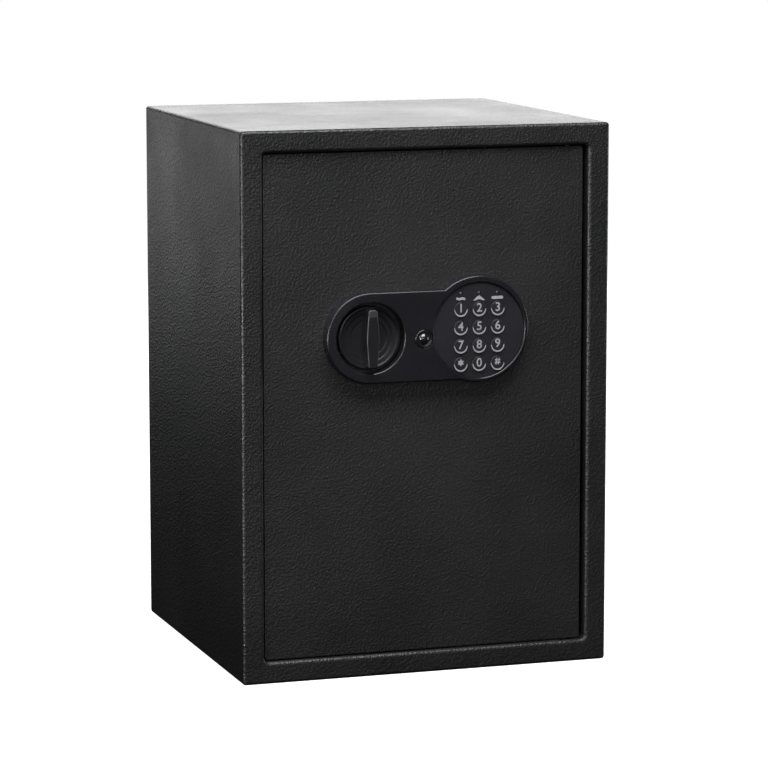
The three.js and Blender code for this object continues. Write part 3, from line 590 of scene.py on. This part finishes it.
def cabinet_shell():
    low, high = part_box("cabinet_shell")
    middle_z = (low.z + high.z) / 2

    def outside(inset):
        radius = max(OUTER_RADIUS - inset, OUTER_RADIUS_LEAST)
        return rounded_ring(low.x + inset, high.x - inset, low.z + inset, high.z - inset, radius)

    def doorway(growth):
        half_width = DOORWAY_HALF_WIDTH + growth
        half_height = DOORWAY_HALF_HEIGHT + growth
        bottom, top = middle_z - half_height, middle_z + half_height
        return rounded_ring(-half_width, half_width, bottom, top, DOORWAY_RADIUS + growth)

    layers = [(outside(0), high.y)]
    for inward, back in quarter_round(FRONT_BEND, 8):
        layers.append((outside(inward), low.y + back))
    for back, outward in quarter_round(DOORWAY_FOLD, 6):
        layers.append((doorway(outward), low.y + back))
    layers += [
        (doorway(0), low.y + LIP_DEPTH),
        (doorway(SHEET), low.y + LIP_DEPTH),
        (doorway(SHEET), low.y + SHEET),
        (outside(SHEET), low.y + SHEET),
        (outside(SHEET), high.y),
    ]
    shell = loft("cabinet_shell_finished", layers, look("cabinet_shell"), closed=True)
    hinge = next(joint for joint in frame["joints"] if joint["name"] == "door_hinge")["pos_m"]
    cutters = []
    for side in (-1, 1):
        lip = middle_z + side * DOORWAY_HALF_HEIGHT
        inner, outer = lip - side * MM, lip + side * PIN_NOTCH_DEPTH
        cutters.append(block(
            f"notch_{side}",
            (hinge[0] - PIN_NOTCH, hinge[1] - PIN_NOTCH, min(inner, outer)),
            (hinge[0] + PIN_NOTCH, hinge[1] + PIN_NOTCH, max(inner, outer)),
        ))
        anchor = (side * ANCHOR_SPREAD, 0.0)
        floor_span = (low.z - MM, low.z + SHEET + MM)
        cutters.append(rod(f"anchor_{side}", anchor, ANCHOR_RADIUS, floor_span, 48, "Z"))
    cut_with(shell, cutters)
    round_edges(shell, SHELL_EDGE)
    stand_for(shell, "cabinet_shell")


RIB_PITCH = 6 * MM
GROOVE_SHARE = 0.22
GROOVE_DEPTH = 0.7 * MM
MAT_BORDER = 9 * MM
MAT_EDGE = 0.25 * MM


def floor_mat():
    """Rubber mat with fine grooves running from front to back."""
    low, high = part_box("floor_mat")
    mat = block("floor_mat_finished", low, high, look("floor_mat"))
    count = int((high.x - low.x - 2 * MAT_BORDER) / RIB_PITCH)
    start = -(count - 1) / 2 * RIB_PITCH
    half = RIB_PITCH * GROOVE_SHARE
    points, faces = [], []
    for index in range(count):
        x = start + index * RIB_PITCH
        base = len(points)
        points += box_corners(
            (x - half, low.y + MAT_BORDER, high.z - GROOVE_DEPTH),
            (x + half, high.y - MAT_BORDER, high.z + MM),
        )
        for face in BOX_FACES:
            faces.append(tuple(base + corner for corner in face))
    grooves = add_object("grooves", mesh_from("grooves", points, faces), None)
    cut_with(mat, [grooves])
    round_edges(mat, MAT_EDGE, 2)
    stand_for(mat, "floor_mat")


# ---- Door -----------------------------------------------------------------------------

DOOR_EDGE = 0.8 * MM
DOOR_CORNER = 3 * MM
PAN_SHEET = 1.5 * MM
PAN_CORNER = 5 * MM
PAN_CORNER_LEAST = 1.2 * MM
PAN_BEND = 3 * MM
PAN_OVERSHOOT = 3 * MM
SIDE_WALL_CUT = 4 * MM
BEAD_INSET = 30 * MM
BEAD_WIDTH = 6 * MM
BEAD_DEPTH = 1.0 * MM
# How far across the bead and how deep each of its bends lies, as shares of its width and depth.
BEAD_SHAPE = [(1.0, 0.0), (0.8, 0.5), (0.6, 1.0), (0.4, 1.0), (0.2, 0.5), (0.0, 0.0)]
SPINDLE_HOLE = 5.5 * MM
LOCK_HOLE = 8.3 * MM
CABLE_HOLE = 5 * MM
BUTTON_HOLE = 4.4 * MM
SCREW_HOLE = 2.3 * MM
BOLT_HOLE = 9.8 * MM
TRAY_CLEARANCE = 0.3 * MM
DOOR_HOLE_EDGE = 0.2 * MM
PAN_EDGE = 0.25 * MM


def centre_of(node):
    low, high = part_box(node)
    return (low + high) / 2


def hole(name, centre, radius, span, sides=64):
    """A cutter for a round hole from front to back."""
    return rod(name, (centre.x, centre.z), radius, span, sides)


def door_plate():
    low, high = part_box("door_plate")

    def face(inset):
        return rounded_ring(
            low.x + inset, high.x - inset, low.z + inset, high.z - inset, DOOR_CORNER - inset,
        )

    layers = [(face(0), high.y)]
    for inward, back in quarter_round(DOOR_EDGE, 6):
        layers.append((face(inward), low.y + back))
    plate = loft("door_plate_finished", layers, look("door_plate"))
    through = (low.y - MM, high.y + MM)
    cut_with(plate, [
        hole("spindle_hole", KNOB_CENTRE, SPINDLE_HOLE, through),
        hole("lock_hole", centre_of("lock_body"), LOCK_HOLE, through),
        hole("cable_hole", centre_of("keypad_cable"), CABLE_HOLE, through),
    ])
    round_edges(plate, DOOR_HOLE_EDGE, 2)
    stand_for(plate, "door_plate")


def door_pan():
    """Pressed pan with a stiffening bead, a battery opening and a hole for the reset button."""
    low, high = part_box("door_pan")

    def wall(inset):
        radius = max(PAN_CORNER - inset, PAN_CORNER_LEAST)
        return rounded_ring(low.x + inset, high.x - inset, low.z + inset, high.z - inset, radius)

    def beaded(y):
        rings = []
        for across, deep in BEAD_SHAPE:
            rings.append((wall(BEAD_INSET + BEAD_WIDTH * across), y - BEAD_DEPTH * deep))
        return rings

    layers = beaded(high.y)
    for inward, forward in quarter_round(PAN_BEND, 6, math.pi / 2, 0):
        layers.append((wall(inward), high.y - forward))
    layers += [(wall(0), low.y), (wall(PAN_SHEET), low.y)]
    floor = high.y - PAN_SHEET
    for inward, forward in quarter_round(PAN_BEND - PAN_SHEET, 4):
        layers.append((wall(PAN_SHEET + inward), floor - forward))
    layers += reversed(beaded(floor))
    pan = loft("door_pan_finished", layers, look("door_pan"))

    through = (floor - PAN_OVERSHOOT, high.y + PAN_OVERSHOOT)
    tray_low, tray_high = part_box("battery_tray")
    cutters = [
        block(
            "tray_opening",
            (tray_low.x - TRAY_CLEARANCE, through[0], tray_low.z - TRAY_CLEARANCE),
            (tray_high.x + TRAY_CLEARANCE, through[1], tray_high.z + TRAY_CLEARANCE),
        ),
        hole("button_hole", centre_of("reset_button"), BUTTON_HOLE, through),
    ]
    for index in range(1, 5):
        screw = centre_of(f"pan_screw_{index}")
        cutters.append(hole(f"screw_hole_{index}", screw, SCREW_HOLE, through))
    for place in ("upper", "lower"):
        bolt = centre_of(f"bolt_{place}")
        side_wall = (low.x - MM, low.x + SIDE_WALL_CUT)
        cutters.append(rod(f"bolt_hole_{place}", (bolt.y, bolt.z), BOLT_HOLE, side_wall, 64, "X"))
    cut_with(pan, cutters)
    round_edges(pan, PAN_EDGE, 2)
    stand_for(pan, "door_pan")


BOLT_NOSE = 1.5 * MM
BOLT_CHAMFER = 0.5 * MM


def live_bolt(place):
    """Turned bolt with a rounded nose and a chamfered tail."""
    node = f"bolt_{place}"
    low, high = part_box(node)
    middle = centre_of(node)
    radius = (high.z - low.z) / 2
    profile = [(0, low.x)]
    for inward, back in quarter_round(BOLT_NOSE, 6, math.pi / 2, 0):
        profile.append((radius - inward, low.x + back))
    profile += [(radius, high.x - BOLT_CHAMFER), (radius - BOLT_CHAMFER, high.x), (0, high.x)]
    bolt = turned(f"{node}_finished", (middle.y, middle.z), profile, look(node), 72, "X")
    round_edges(bolt, 0)
    stand_for(bolt, node)


# ---- Faceplate, keypad and keys -------------------------------------------------------

KNOB_CENTRE = Vector((-56.5, 0, 312)) * MM
KNOB_SIDE_RADIUS = 41.2 * MM
KEYPAD_CENTRE = Vector((45.8, 0, 316.5)) * MM
KEYPAD_SIDE_RADIUS = 48.5 * MM
PLATE_EDGE = 1.6 * MM
KNOB_WELL_RADIUS = 32 * MM
KNOB_WELL_RIM = 1.5 * MM
KEYPAD_CLEARANCE = 0.3 * MM
KEYPAD_RIM = 1.4 * MM
COVER_WELL_RADIUS = 8.7 * MM
COVER_WELL_RIM = 0.15 * MM
WELL_OVERSHOOT = 2 * MM
KEYPAD_EDGE = 0.12 * MM
KEY_HOLE = 6.95 * MM
KEY_CAP = 6.6 * MM
KEY_ROUND = 0.5 * MM
KEY_FLANGE = 0.8 * MM
LAMP_HOLE = 1.8 * MM
LAMP_DOME = 1.0 * MM


def faceplate_ring(inset):
    """A small circle round the knob and a larger one round the keys, joined by a straight band."""
    small = KNOB_SIDE_RADIUS - inset
    large = KEYPAD_SIDE_RADIUS - inset
    rise = KEYPAD_CENTRE.z - KNOB_CENTRE.z
    top = math.pi - math.asin((small - rise) / large)
    bottom = math.pi + math.asin((small + rise) / large)
    ring = []
    for angle in arc(72, math.pi / 2, 3 * math.pi / 2):
        ring.append(around(KNOB_CENTRE, small, angle))
    for angle in arc(120, bottom, 2 * math.pi + top):
        ring.append(around(KEYPAD_CENTRE, large, angle))
    return ring


def well_cutter(name, centre, radius, across, down, front, back):
    """Cuts a round well whose rim is rounded by `across` sideways and `down` in depth."""
    start, end = front - WELL_OVERSHOOT, back + WELL_OVERSHOOT
    profile = [(0, start), (radius + across, start)]
    for angle in arc(6):
        profile.append((radius + across * (1 - math.sin(angle)), front + down * (1 - math.cos(angle))))
    profile += [(radius, end), (0, end)]
    return turned(name, (centre.x, centre.z), profile, None, 128)


def faceplate():
    low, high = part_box("faceplate")
    keypad_low, keypad_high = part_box("keypad_plate")
    keypad_radius = (keypad_high.x - keypad_low.x) / 2 + KEYPAD_CLEARANCE
    keypad_depth = keypad_low.y - low.y
    layers = [(faceplate_ring(0), high.y)]
    for inward, back in quarter_round(PLATE_EDGE, 7):
        layers.append((faceplate_ring(inward), low.y + back))
    plate = loft("faceplate_finished", layers, look("faceplate"))
    wells = [
        ("knob_well", KNOB_CENTRE, KNOB_WELL_RADIUS, KNOB_WELL_RIM, KNOB_WELL_RIM),
        ("keypad_well", centre_of("keypad_plate"), keypad_radius, KEYPAD_RIM, keypad_depth),
        ("cover_well", centre_of("keyhole_cover"), COVER_WELL_RADIUS, COVER_WELL_RIM, COVER_WELL_RIM),
    ]
    cut_with(plate, [well_cutter(*well, low.y, high.y) for well in wells])
    round_edges(plate, 0)
    stand_for(plate, "faceplate")


def keypad_plate():
    low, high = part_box("keypad_plate")
    middle = centre_of("keypad_plate")
    radius = (high.x - low.x) / 2
    profile = [(0, low.y), (radius, low.y), (radius, high.y), (0, high.y)]
    finish = MATERIALS["keypad_plastic"]
    plate = turned("keypad_plate_finished", (middle.x, middle.z), profile, finish, 128)
    through = (low.y - MM, high.y + MM)
    cutters = []
    for name in KEY_NAMES:
        cutters.append(hole(f"hole_{name}", centre_of(f"key_{name}"), KEY_HOLE, through, 48))
    for name in LAMP_NAMES:
        cutters.append(hole(f"lamp_hole_{name}", centre_of(f"lamp_{name}"), LAMP_HOLE, through, 32))
    cut_with(plate, cutters)
    round_edges(plate, KEYPAD_EDGE, 2)
    stand_for(plate, "keypad_plate")


def key_piece(name):
    node = f"key_{name}"
    low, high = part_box(node)
    middle = centre_of(node)
    flange = (high.x - low.x) / 2
    flange_front = high.y - KEY_FLANGE
    profile = [(0, low.y)]
    for inward, back in quarter_round(KEY_ROUND, 5, math.pi / 2, 0):
        profile.append((KEY_CAP - inward, low.y + back))
    profile += [(KEY_CAP, flange_front), (flange, flange_front), (flange, high.y), (0, high.y)]
    cap = turned(f"{node}_finished", (middle.x, middle.z), profile, look(node), 64)
    round_edges(cap, 0)
    stand_for(cap, node)


def lamp(name):
    node = f"lamp_{name}"
    low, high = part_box(node)
    middle = centre_of(node)
    radius = (high.x - low.x) / 2
    profile = []
    for angle in arc(6, math.pi / 2, 0):
        profile.append((radius * math.cos(angle), low.y + LAMP_DOME * (1 - math.sin(angle))))
    profile += [(radius, high.y), (0, high.y)]
    lens = turned(f"{node}_finished", (middle.x, middle.z), profile, look(node), 32)
    round_edges(lens, 0)
    stand_for(lens, node)


# ---- Print on the keys and the keypad --------------------------------------------------

PRINT_RISE = 0.05 * MM
# Each stroke of a symbol stands this much higher than the last, so that no two share a face.
STROKE_STEP = 0.004 * MM
CRESCENT_ENDS = (math.radians(176), math.radians(364))
CRESCENT_MARGIN = 0.25 * MM
CRESCENT_TIP = 0.4 * MM
CRESCENT_SWELL = 0.92 * MM
DIGIT_HEIGHT = 7.9 * MM
DIGIT_DROP = 2.2 * MM
# A digit's height in Blender's built-in font, as a share of the font size.
FONT_DIGIT_SHARE = 0.72
DIGIT_THICKENING = 0.14 * MM
SYMBOL_RISE = 1.9 * MM
# Strokes are given by their length and width.
STAR_STROKE = (6.0 * MM, 1.5 * MM)
STAR_TURNS = [math.radians(turn) for turn in (30, 90, 150)]
HASH_UPRIGHT = (6.4 * MM, 1.1 * MM)
HASH_CROSSBAR = (5.6 * MM, 1.1 * MM)
HASH_LEAN = math.radians(82)
HASH_HALF_GAP_ACROSS = 1.15 * MM
HASH_HALF_GAP_UP = 1.2 * MM
MARK_HEIGHT = 344.4 * MM
WAVE_HALF_LENGTH = 4.2 * MM
WAVE_HALF_WIDTH = 1.1 * MM
WAVE_SWING = 0.35 * MM
WAVE_CYCLES = 1.5
DASH_STROKE = (11.2 * MM, 2.7 * MM)
# The roof's corners from its middle, in millimetres.
ROOF_OUTLINE = [
    (-5.6, -1.9), (-3.6, -2.1), (-1.2, -1.0), (1.2, -1.0), (3.6, -2.1), (5.6, -1.9),
    (2.2, 1.2), (0, 2.7), (-2.2, 1.2),
]


def slab(name, outline, y, body):
    """A thin layer of ink with the outline of (x, z) points, proud of a face at y."""
    layers = [(outline, y + PRINT_RISE), (outline, y - PRINT_RISE)]
    ink = loft(name, layers, MATERIALS["white_print"])
    dress(ink, body, "white_print")


def joined(name, objects):
    """One object made of the parts, in place of them."""
    whole = bmesh.new()
    for obj in objects:
        whole.from_mesh(obj.data)
    mesh = bpy.data.meshes.new(name)
    whole.to_mesh(mesh)
    whole.free()
    material = objects[0].data.materials[0]
    for obj in objects:
        bpy.data.objects.remove(obj)
    return add_object(name, mesh, material)


def crescent(name):
    """The printed half ring that cups each key's character."""
    key = centre_of(f"key_{name}")
    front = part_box(f"key_{name}")[0].y
    start, end = CRESCENT_ENDS
    outer_radius = KEY_CAP - CRESCENT_MARGIN
    outer, inner = [], []
    for angle in arc(28, start, end):
        fullness = math.sin((angle - start) / (end - start) * math.pi) ** 0.5
        width = CRESCENT_TIP + CRESCENT_SWELL * fullness
        outer.append(around(key, outer_radius, angle))
        inner.append(around(key, outer_radius - width, angle))
    slab(f"print_ring_{name}", outer + inner[::-1], front, f"key_{name}")


def digit(name):
    """A digit in Blender's built-in font; the 9 is a 6 turned by half a turn."""
    key = centre_of(f"key_{name}")
    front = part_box(f"key_{name}")[0].y
    is_turned_six = name == "9"
    curve = bpy.data.curves.new(f"print_{name}", "FONT")
    curve.body = "6" if is_turned_six else name
    curve.size = DIGIT_HEIGHT / FONT_DIGIT_SHARE
    curve.align_x = "CENTER"
    curve.offset = DIGIT_THICKENING
    curve.extrude = PRINT_RISE
    curve.resolution_u = 6
    text = bpy.data.objects.new(f"text_{name}", curve)
    bpy.context.scene.collection.objects.link(text)
    foot = Matrix.Translation((key.x, front, key.z - DIGIT_DROP))
    upright = foot @ Matrix.Rotation(math.pi / 2, 4, "X")
    half_turn = Matrix.Translation((0, DIGIT_HEIGHT, 0)) @ Matrix.Rotation(math.pi, 4, "Z")
    text.matrix_world = upright @ half_turn if is_turned_six else upright
    bpy.context.view_layer.update()
    depsgraph = bpy.context.evaluated_depsgraph_get()
    mesh = bpy.data.meshes.new_from_object(text.evaluated_get(depsgraph))
    mesh.transform(text.matrix_world)
    bpy.data.objects.remove(text)
    mesh.materials.clear()
    ink = add_object(f"print_digit_{name}", mesh, MATERIALS["white_print"])
    dress(ink, f"key_{name}", "white_print")


def bar_outline(x, z, length, width, angle):
    """A straight stroke with round ends, as (x, z) points."""
    radius = width / 2
    half_straight = (length - width) / 2
    ring = []
    for end in (1, -1):
        for turn in arc(6, -math.pi / 2, math.pi / 2):
            along = end * (half_straight + radius * math.cos(turn))
            across = end * radius * math.sin(turn)
            ring.append((
                x + along * math.cos(angle) - across * math.sin(angle),
                z + along * math.sin(angle) + across * math.cos(angle),
            ))
    return ring


def strokes(name, lines, front, body):
    """Strokes given as (x, z, length, width, angle), printed as one piece."""
    parts = []
    for index, line in enumerate(lines):
        ring = bar_outline(*line)
        rise = PRINT_RISE + index * STROKE_STEP
        layers = [(ring, front + rise), (ring, front - rise)]
        parts.append(loft(f"{name}_{index}", layers, MATERIALS["white_print"]))
    dress(joined(name, parts), body, "white_print")


def star_and_hash():
    star, hash_key = centre_of("key_star"), centre_of("key_hash")
    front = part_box("key_star")[0].y
    star_z = star.z + SYMBOL_RISE
    rays = [(star.x, star_z, *STAR_STROKE, turn) for turn in STAR_TURNS]
    strokes("print_star", rays, front, "key_star")
    hash_z = hash_key.z + SYMBOL_RISE
    bars = []
    for side in (-1, 1):
        bars.append((hash_key.x + side * HASH_HALF_GAP_ACROSS, hash_z, *HASH_UPRIGHT, HASH_LEAN))
        bars.append((hash_key.x, hash_z + side * HASH_HALF_GAP_UP, *HASH_CROSSBAR, 0.0))
    strokes("print_hash", bars, front, "key_hash")


def keypad_symbols():
    """Three plain marks under the lamps: a short wave, a roof and a long dash."""
    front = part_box("keypad_plate")[0].y
    left, middle, right = (centre_of(f"lamp_{name}").x for name in LAMP_NAMES)
    upper, lower = [], []
    for along in arc(16, -1.0, 1.0):
        x = left + along * WAVE_HALF_LENGTH
        z = MARK_HEIGHT + WAVE_SWING * math.sin(along * math.pi * WAVE_CYCLES)
        upper.append((x, z + WAVE_HALF_WIDTH))
        lower.append((x, z - WAVE_HALF_WIDTH))
    slab("print_wave", lower + upper[::-1], front, "door")
    roof = [(middle + x * MM, MARK_HEIGHT + z * MM) for x, z in ROOF_OUTLINE]
    slab("print_roof", roof, front, "door")
    strokes("print_dash", [(right, MARK_HEIGHT, *DASH_STROKE, 0.0)], front, "door")


# ---- Knob and keyhole cover ------------------------------------------------------------

DISH_FLOOR = -165.2 * MM
DISH_RIM = -168.4 * MM
DISH_EDGE = 1.3 * MM
CREST_WIDTH = 0.4 * MM
# Radius of each bend in the dish and its height above the dish's floor, in millimetres.
DISH_STEPS = [
    (16.4, 0), (16.7, 0.1), (17.3, 0.6), (17.6, 0.7), (21.4, 0.8), (21.7, 0.9),
    (22.3, 1.5), (22.6, 1.6), (25.9, 1.8), (26.3, 2.0),
]
GRIP_LENGTH = 26.6 * MM
GRIP_WIDTH = 4.6 * MM
GRIP_SWELL = 1.4 * MM
GRIP_CORNER = 2.4 * MM
GRIP_CORNER_LEAST = 0.6 * MM
GRIP_EDGE = 1.5 * MM
GRIP_FLARE = 0.5 * MM
GRIP_ROOT = 1.0 * MM
# Where the grey patch of painted reflection sits on the grip.
GRIP_SHEEN_SPAN = (331.8 * MM, 337.4 * MM)
GRIP_SHEEN_HALF_WIDTH = 4.3 * MM


def grip_ring(inset):
    """The grip's outline: straight ends with round corners and flanks that swell at the middle."""
    length = GRIP_LENGTH - inset
    width = GRIP_WIDTH - inset
    corner = max(GRIP_CORNER - inset, GRIP_CORNER_LEAST)
    flank = []
    for along in arc(24, -1.0, 1.0):
        z = (length - corner) * along
        flank.append((width + GRIP_SWELL * math.cos(z / length * math.pi / 2) ** 2, z))
    end = []
    for inward, short in quarter_round(corner, 6)[1:]:
        end.append((flank[-1][0] - inward, length - short))
    right = [(x, -z) for x, z in reversed(end)] + flank + end
    ring = right + [(-x, -z) for x, z in right]
    return [(KNOB_CENTRE.x + x, KNOB_CENTRE.z + z) for x, z in ring]


def grip_blank(name, growth, material):
    """The grip bar, grown all over by `growth`. Its foot flares out and sinks into the dish."""
    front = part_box("knob")[0].y + PRINT_RISE - growth
    layers = [(grip_ring(-GRIP_FLARE - growth), DISH_FLOOR + GRIP_ROOT)]
    for inward, back in quarter_round(GRIP_EDGE, 7):
        layers.append((grip_ring(inward - growth), front + back))
    return loft(name, layers, material)


def combine(obj, tool, operation):
    """Adds the tool to obj or keeps what both share, and deletes the tool."""
    boolean = obj.modifiers.new("combine", "BOOLEAN")
    boolean.operation = operation
    boolean.solver = "EXACT"
    boolean.object = tool
    apply_modifiers(obj)
    bpy.data.objects.remove(tool)


def knob():
    low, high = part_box("knob")
    radius = (high.x - low.x) / 2
    profile = [(0, DISH_FLOOR)]
    for across, rise in DISH_STEPS:
        profile.append((across * MM, DISH_FLOOR - rise * MM))
    profile.append((radius - DISH_EDGE - CREST_WIDTH, DISH_RIM))
    for inward, back in quarter_round(DISH_EDGE, 6, math.pi / 2, 0):
        profile.append((radius - inward, DISH_RIM + back))
    profile += [(radius, high.y), (0, high.y)]
    disc = turned("knob_finished", (KNOB_CENTRE.x, KNOB_CENTRE.z), profile, look("knob"), 128)
    combine(disc, grip_blank("grip", 0.0, None), "UNION")
    round_edges(disc, 0)
    stand_for(disc, "knob")


def painted_grip_sheen():
    """A grey patch near the grip's top end: a painted reflection of the light on the grip's end, not print."""
    painted_sheen = grip_blank("painted_grip_sheen", PRINT_RISE, MATERIALS["grey_painted_sheen"])
    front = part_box("knob")[0].y
    keep = block(
        "keep",
        (KNOB_CENTRE.x - GRIP_SHEEN_HALF_WIDTH, front - MM, GRIP_SHEEN_SPAN[0]),
        (KNOB_CENTRE.x + GRIP_SHEEN_HALF_WIDTH, front + MM, GRIP_SHEEN_SPAN[1]),
    )
    combine(painted_sheen, keep, "INTERSECT")
    round_edges(painted_sheen, 0)
    dress(painted_sheen, "knob", "white_print")


# Radius of each point on the cover's dome and its height above the cover's face, in millimetres.
COVER_DOME = [
    (0, 1.6), (1.2, 1.57), (2.1, 1.42), (2.8, 1.1), (3.6, 0.5), (4.3, -0.1), (4.9, -0.5), (5.4, -0.5),
]
COVER_RISE = 1.6 * MM
COVER_EDGE = 0.9 * MM
COVER_RIM_DROP = 0.1 * MM


def keyhole_cover():
    """A round cap with a low shiny dome."""
    low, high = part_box("keyhole_cover")
    middle = centre_of("keyhole_cover")
    radius = (high.x - low.x) / 2
    face = low.y + COVER_RISE
    profile = [(across * MM, face - rise * MM) for across, rise in COVER_DOME]
    for inward, back in quarter_round(COVER_EDGE, 6, math.pi / 2, 0):
        profile.append((radius - inward, face + COVER_RIM_DROP + back))
    profile += [(radius, high.y), (0, high.y)]
    finish = MATERIALS["cover_plastic"]
    cover = turned("keyhole_cover_finished", (middle.x, middle.z), profile, finish, 72)
    round_edges(cover, 0)
    stand_for(cover, "keyhole_cover")


# ---- Floor and assembly ----------------------------------------------------------------

FLOOR_SIZE = 12.0
FLOOR_GLOW = 1.0


def studio_floor():
    """A plain white floor. It shows as white but throws little light back up at the safe."""
    half = FLOOR_SIZE / 2
    points = [(-half, -half, 0), (half, -half, 0), (half, half, 0), (-half, half, 0)]
    floor = add_object("studio_floor", mesh_from("studio_floor", points, [(0, 1, 2, 3)]), None)
    material, tree, shader = new_material("studio_floor")
    mottle = noise(tree, object_place(tree), 3.0)
    tone = two_tone(tree, mottle, (0.90, 0.90, 0.90), (0.93, 0.93, 0.93))
    tree.links.new(tone, shader.inputs["Base Color"])
    shader.inputs["Roughness"].default_value = 0.9
    shader.inputs["Emission Color"].default_value = WHITE
    shader.inputs["Emission Strength"].default_value = FLOOR_GLOW
    dull = tree.nodes.new("ShaderNodeBsdfDiffuse")
    dull.inputs["Color"].default_value = (0.012, 0.012, 0.012, 1.0)
    output = tree.nodes["Material Output"]
    tree.links.new(
        seen_and_cast(tree, shader.outputs["BSDF"], dull.outputs["BSDF"]), output.inputs["Surface"],
    )
    floor.data.materials.append(material)


def build():
    cabinet_shell()
    floor_mat()
    door_plate()
    door_pan()
    faceplate()
    keypad_plate()
    knob()
    painted_grip_sheen()
    keyhole_cover()
    keypad_symbols()
    star_and_hash()
    for name in KEY_NAMES:
        key_piece(name)
        crescent(name)
    for name in "1234567890":
        digit(name)
    for name in LAMP_NAMES:
        lamp(name)
    for place in ("upper", "lower"):
        live_bolt(place)


# Pieces that keep their CAD shape, with the rounding of their edges in millimetres.
REFINED = {
    "back_panel": 0.4, "hinge_block_upper": 0.8, "hinge_block_lower": 0.8, "shelf_rail_left": 0.4,
    "shelf_rail_right": 0.4, "shelf": 0.3,
    "bolt_guide_lower": 0.5, "bolt_guide_upper": 0.5, "pan_screw_1": 0.3, "pan_screw_2": 0.3,
    "pan_screw_3": 0.3, "pan_screw_4": 0.3, "keypad_sheet": 0.2, "keypad_board": 0.15,
    "knob_spindle": 0.3, "bolt_carriage": 0.3, "lock_body": 0.3, "lock_plug": 0.15, "plunger": 0.2,
    "solenoid_body": 0.5, "battery_tray": 0.3, "battery_cell_1": 0.3, "battery_cell_2": 0.3,
    "battery_cell_3": 0.3, "battery_cell_4": 0.3, "battery_contacts_upper": 0.1,
    "battery_contacts_lower": 0.1, "battery_cover": 0.4, "reset_button": 0.2, "lock_board": 0.15,
}
LUG_EDGE = 0.5 * MM
# CAD pieces that only take a material.
AS_CAD = ["keypad_cable", "battery_lead", "plunger_spring"]

build()
for node, width in REFINED.items():
    refined(node, width * MM)
for place in ("upper", "lower"):
    refined(f"hinge_lug_{place}", LUG_EDGE, MATERIALS["black_steel"])
for node in AS_CAD:
    piece = frame["nodes"][node]
    for slot in piece.material_slots:
        slot.material = look(node)
studio_floor()
make_camera()
make_studio()
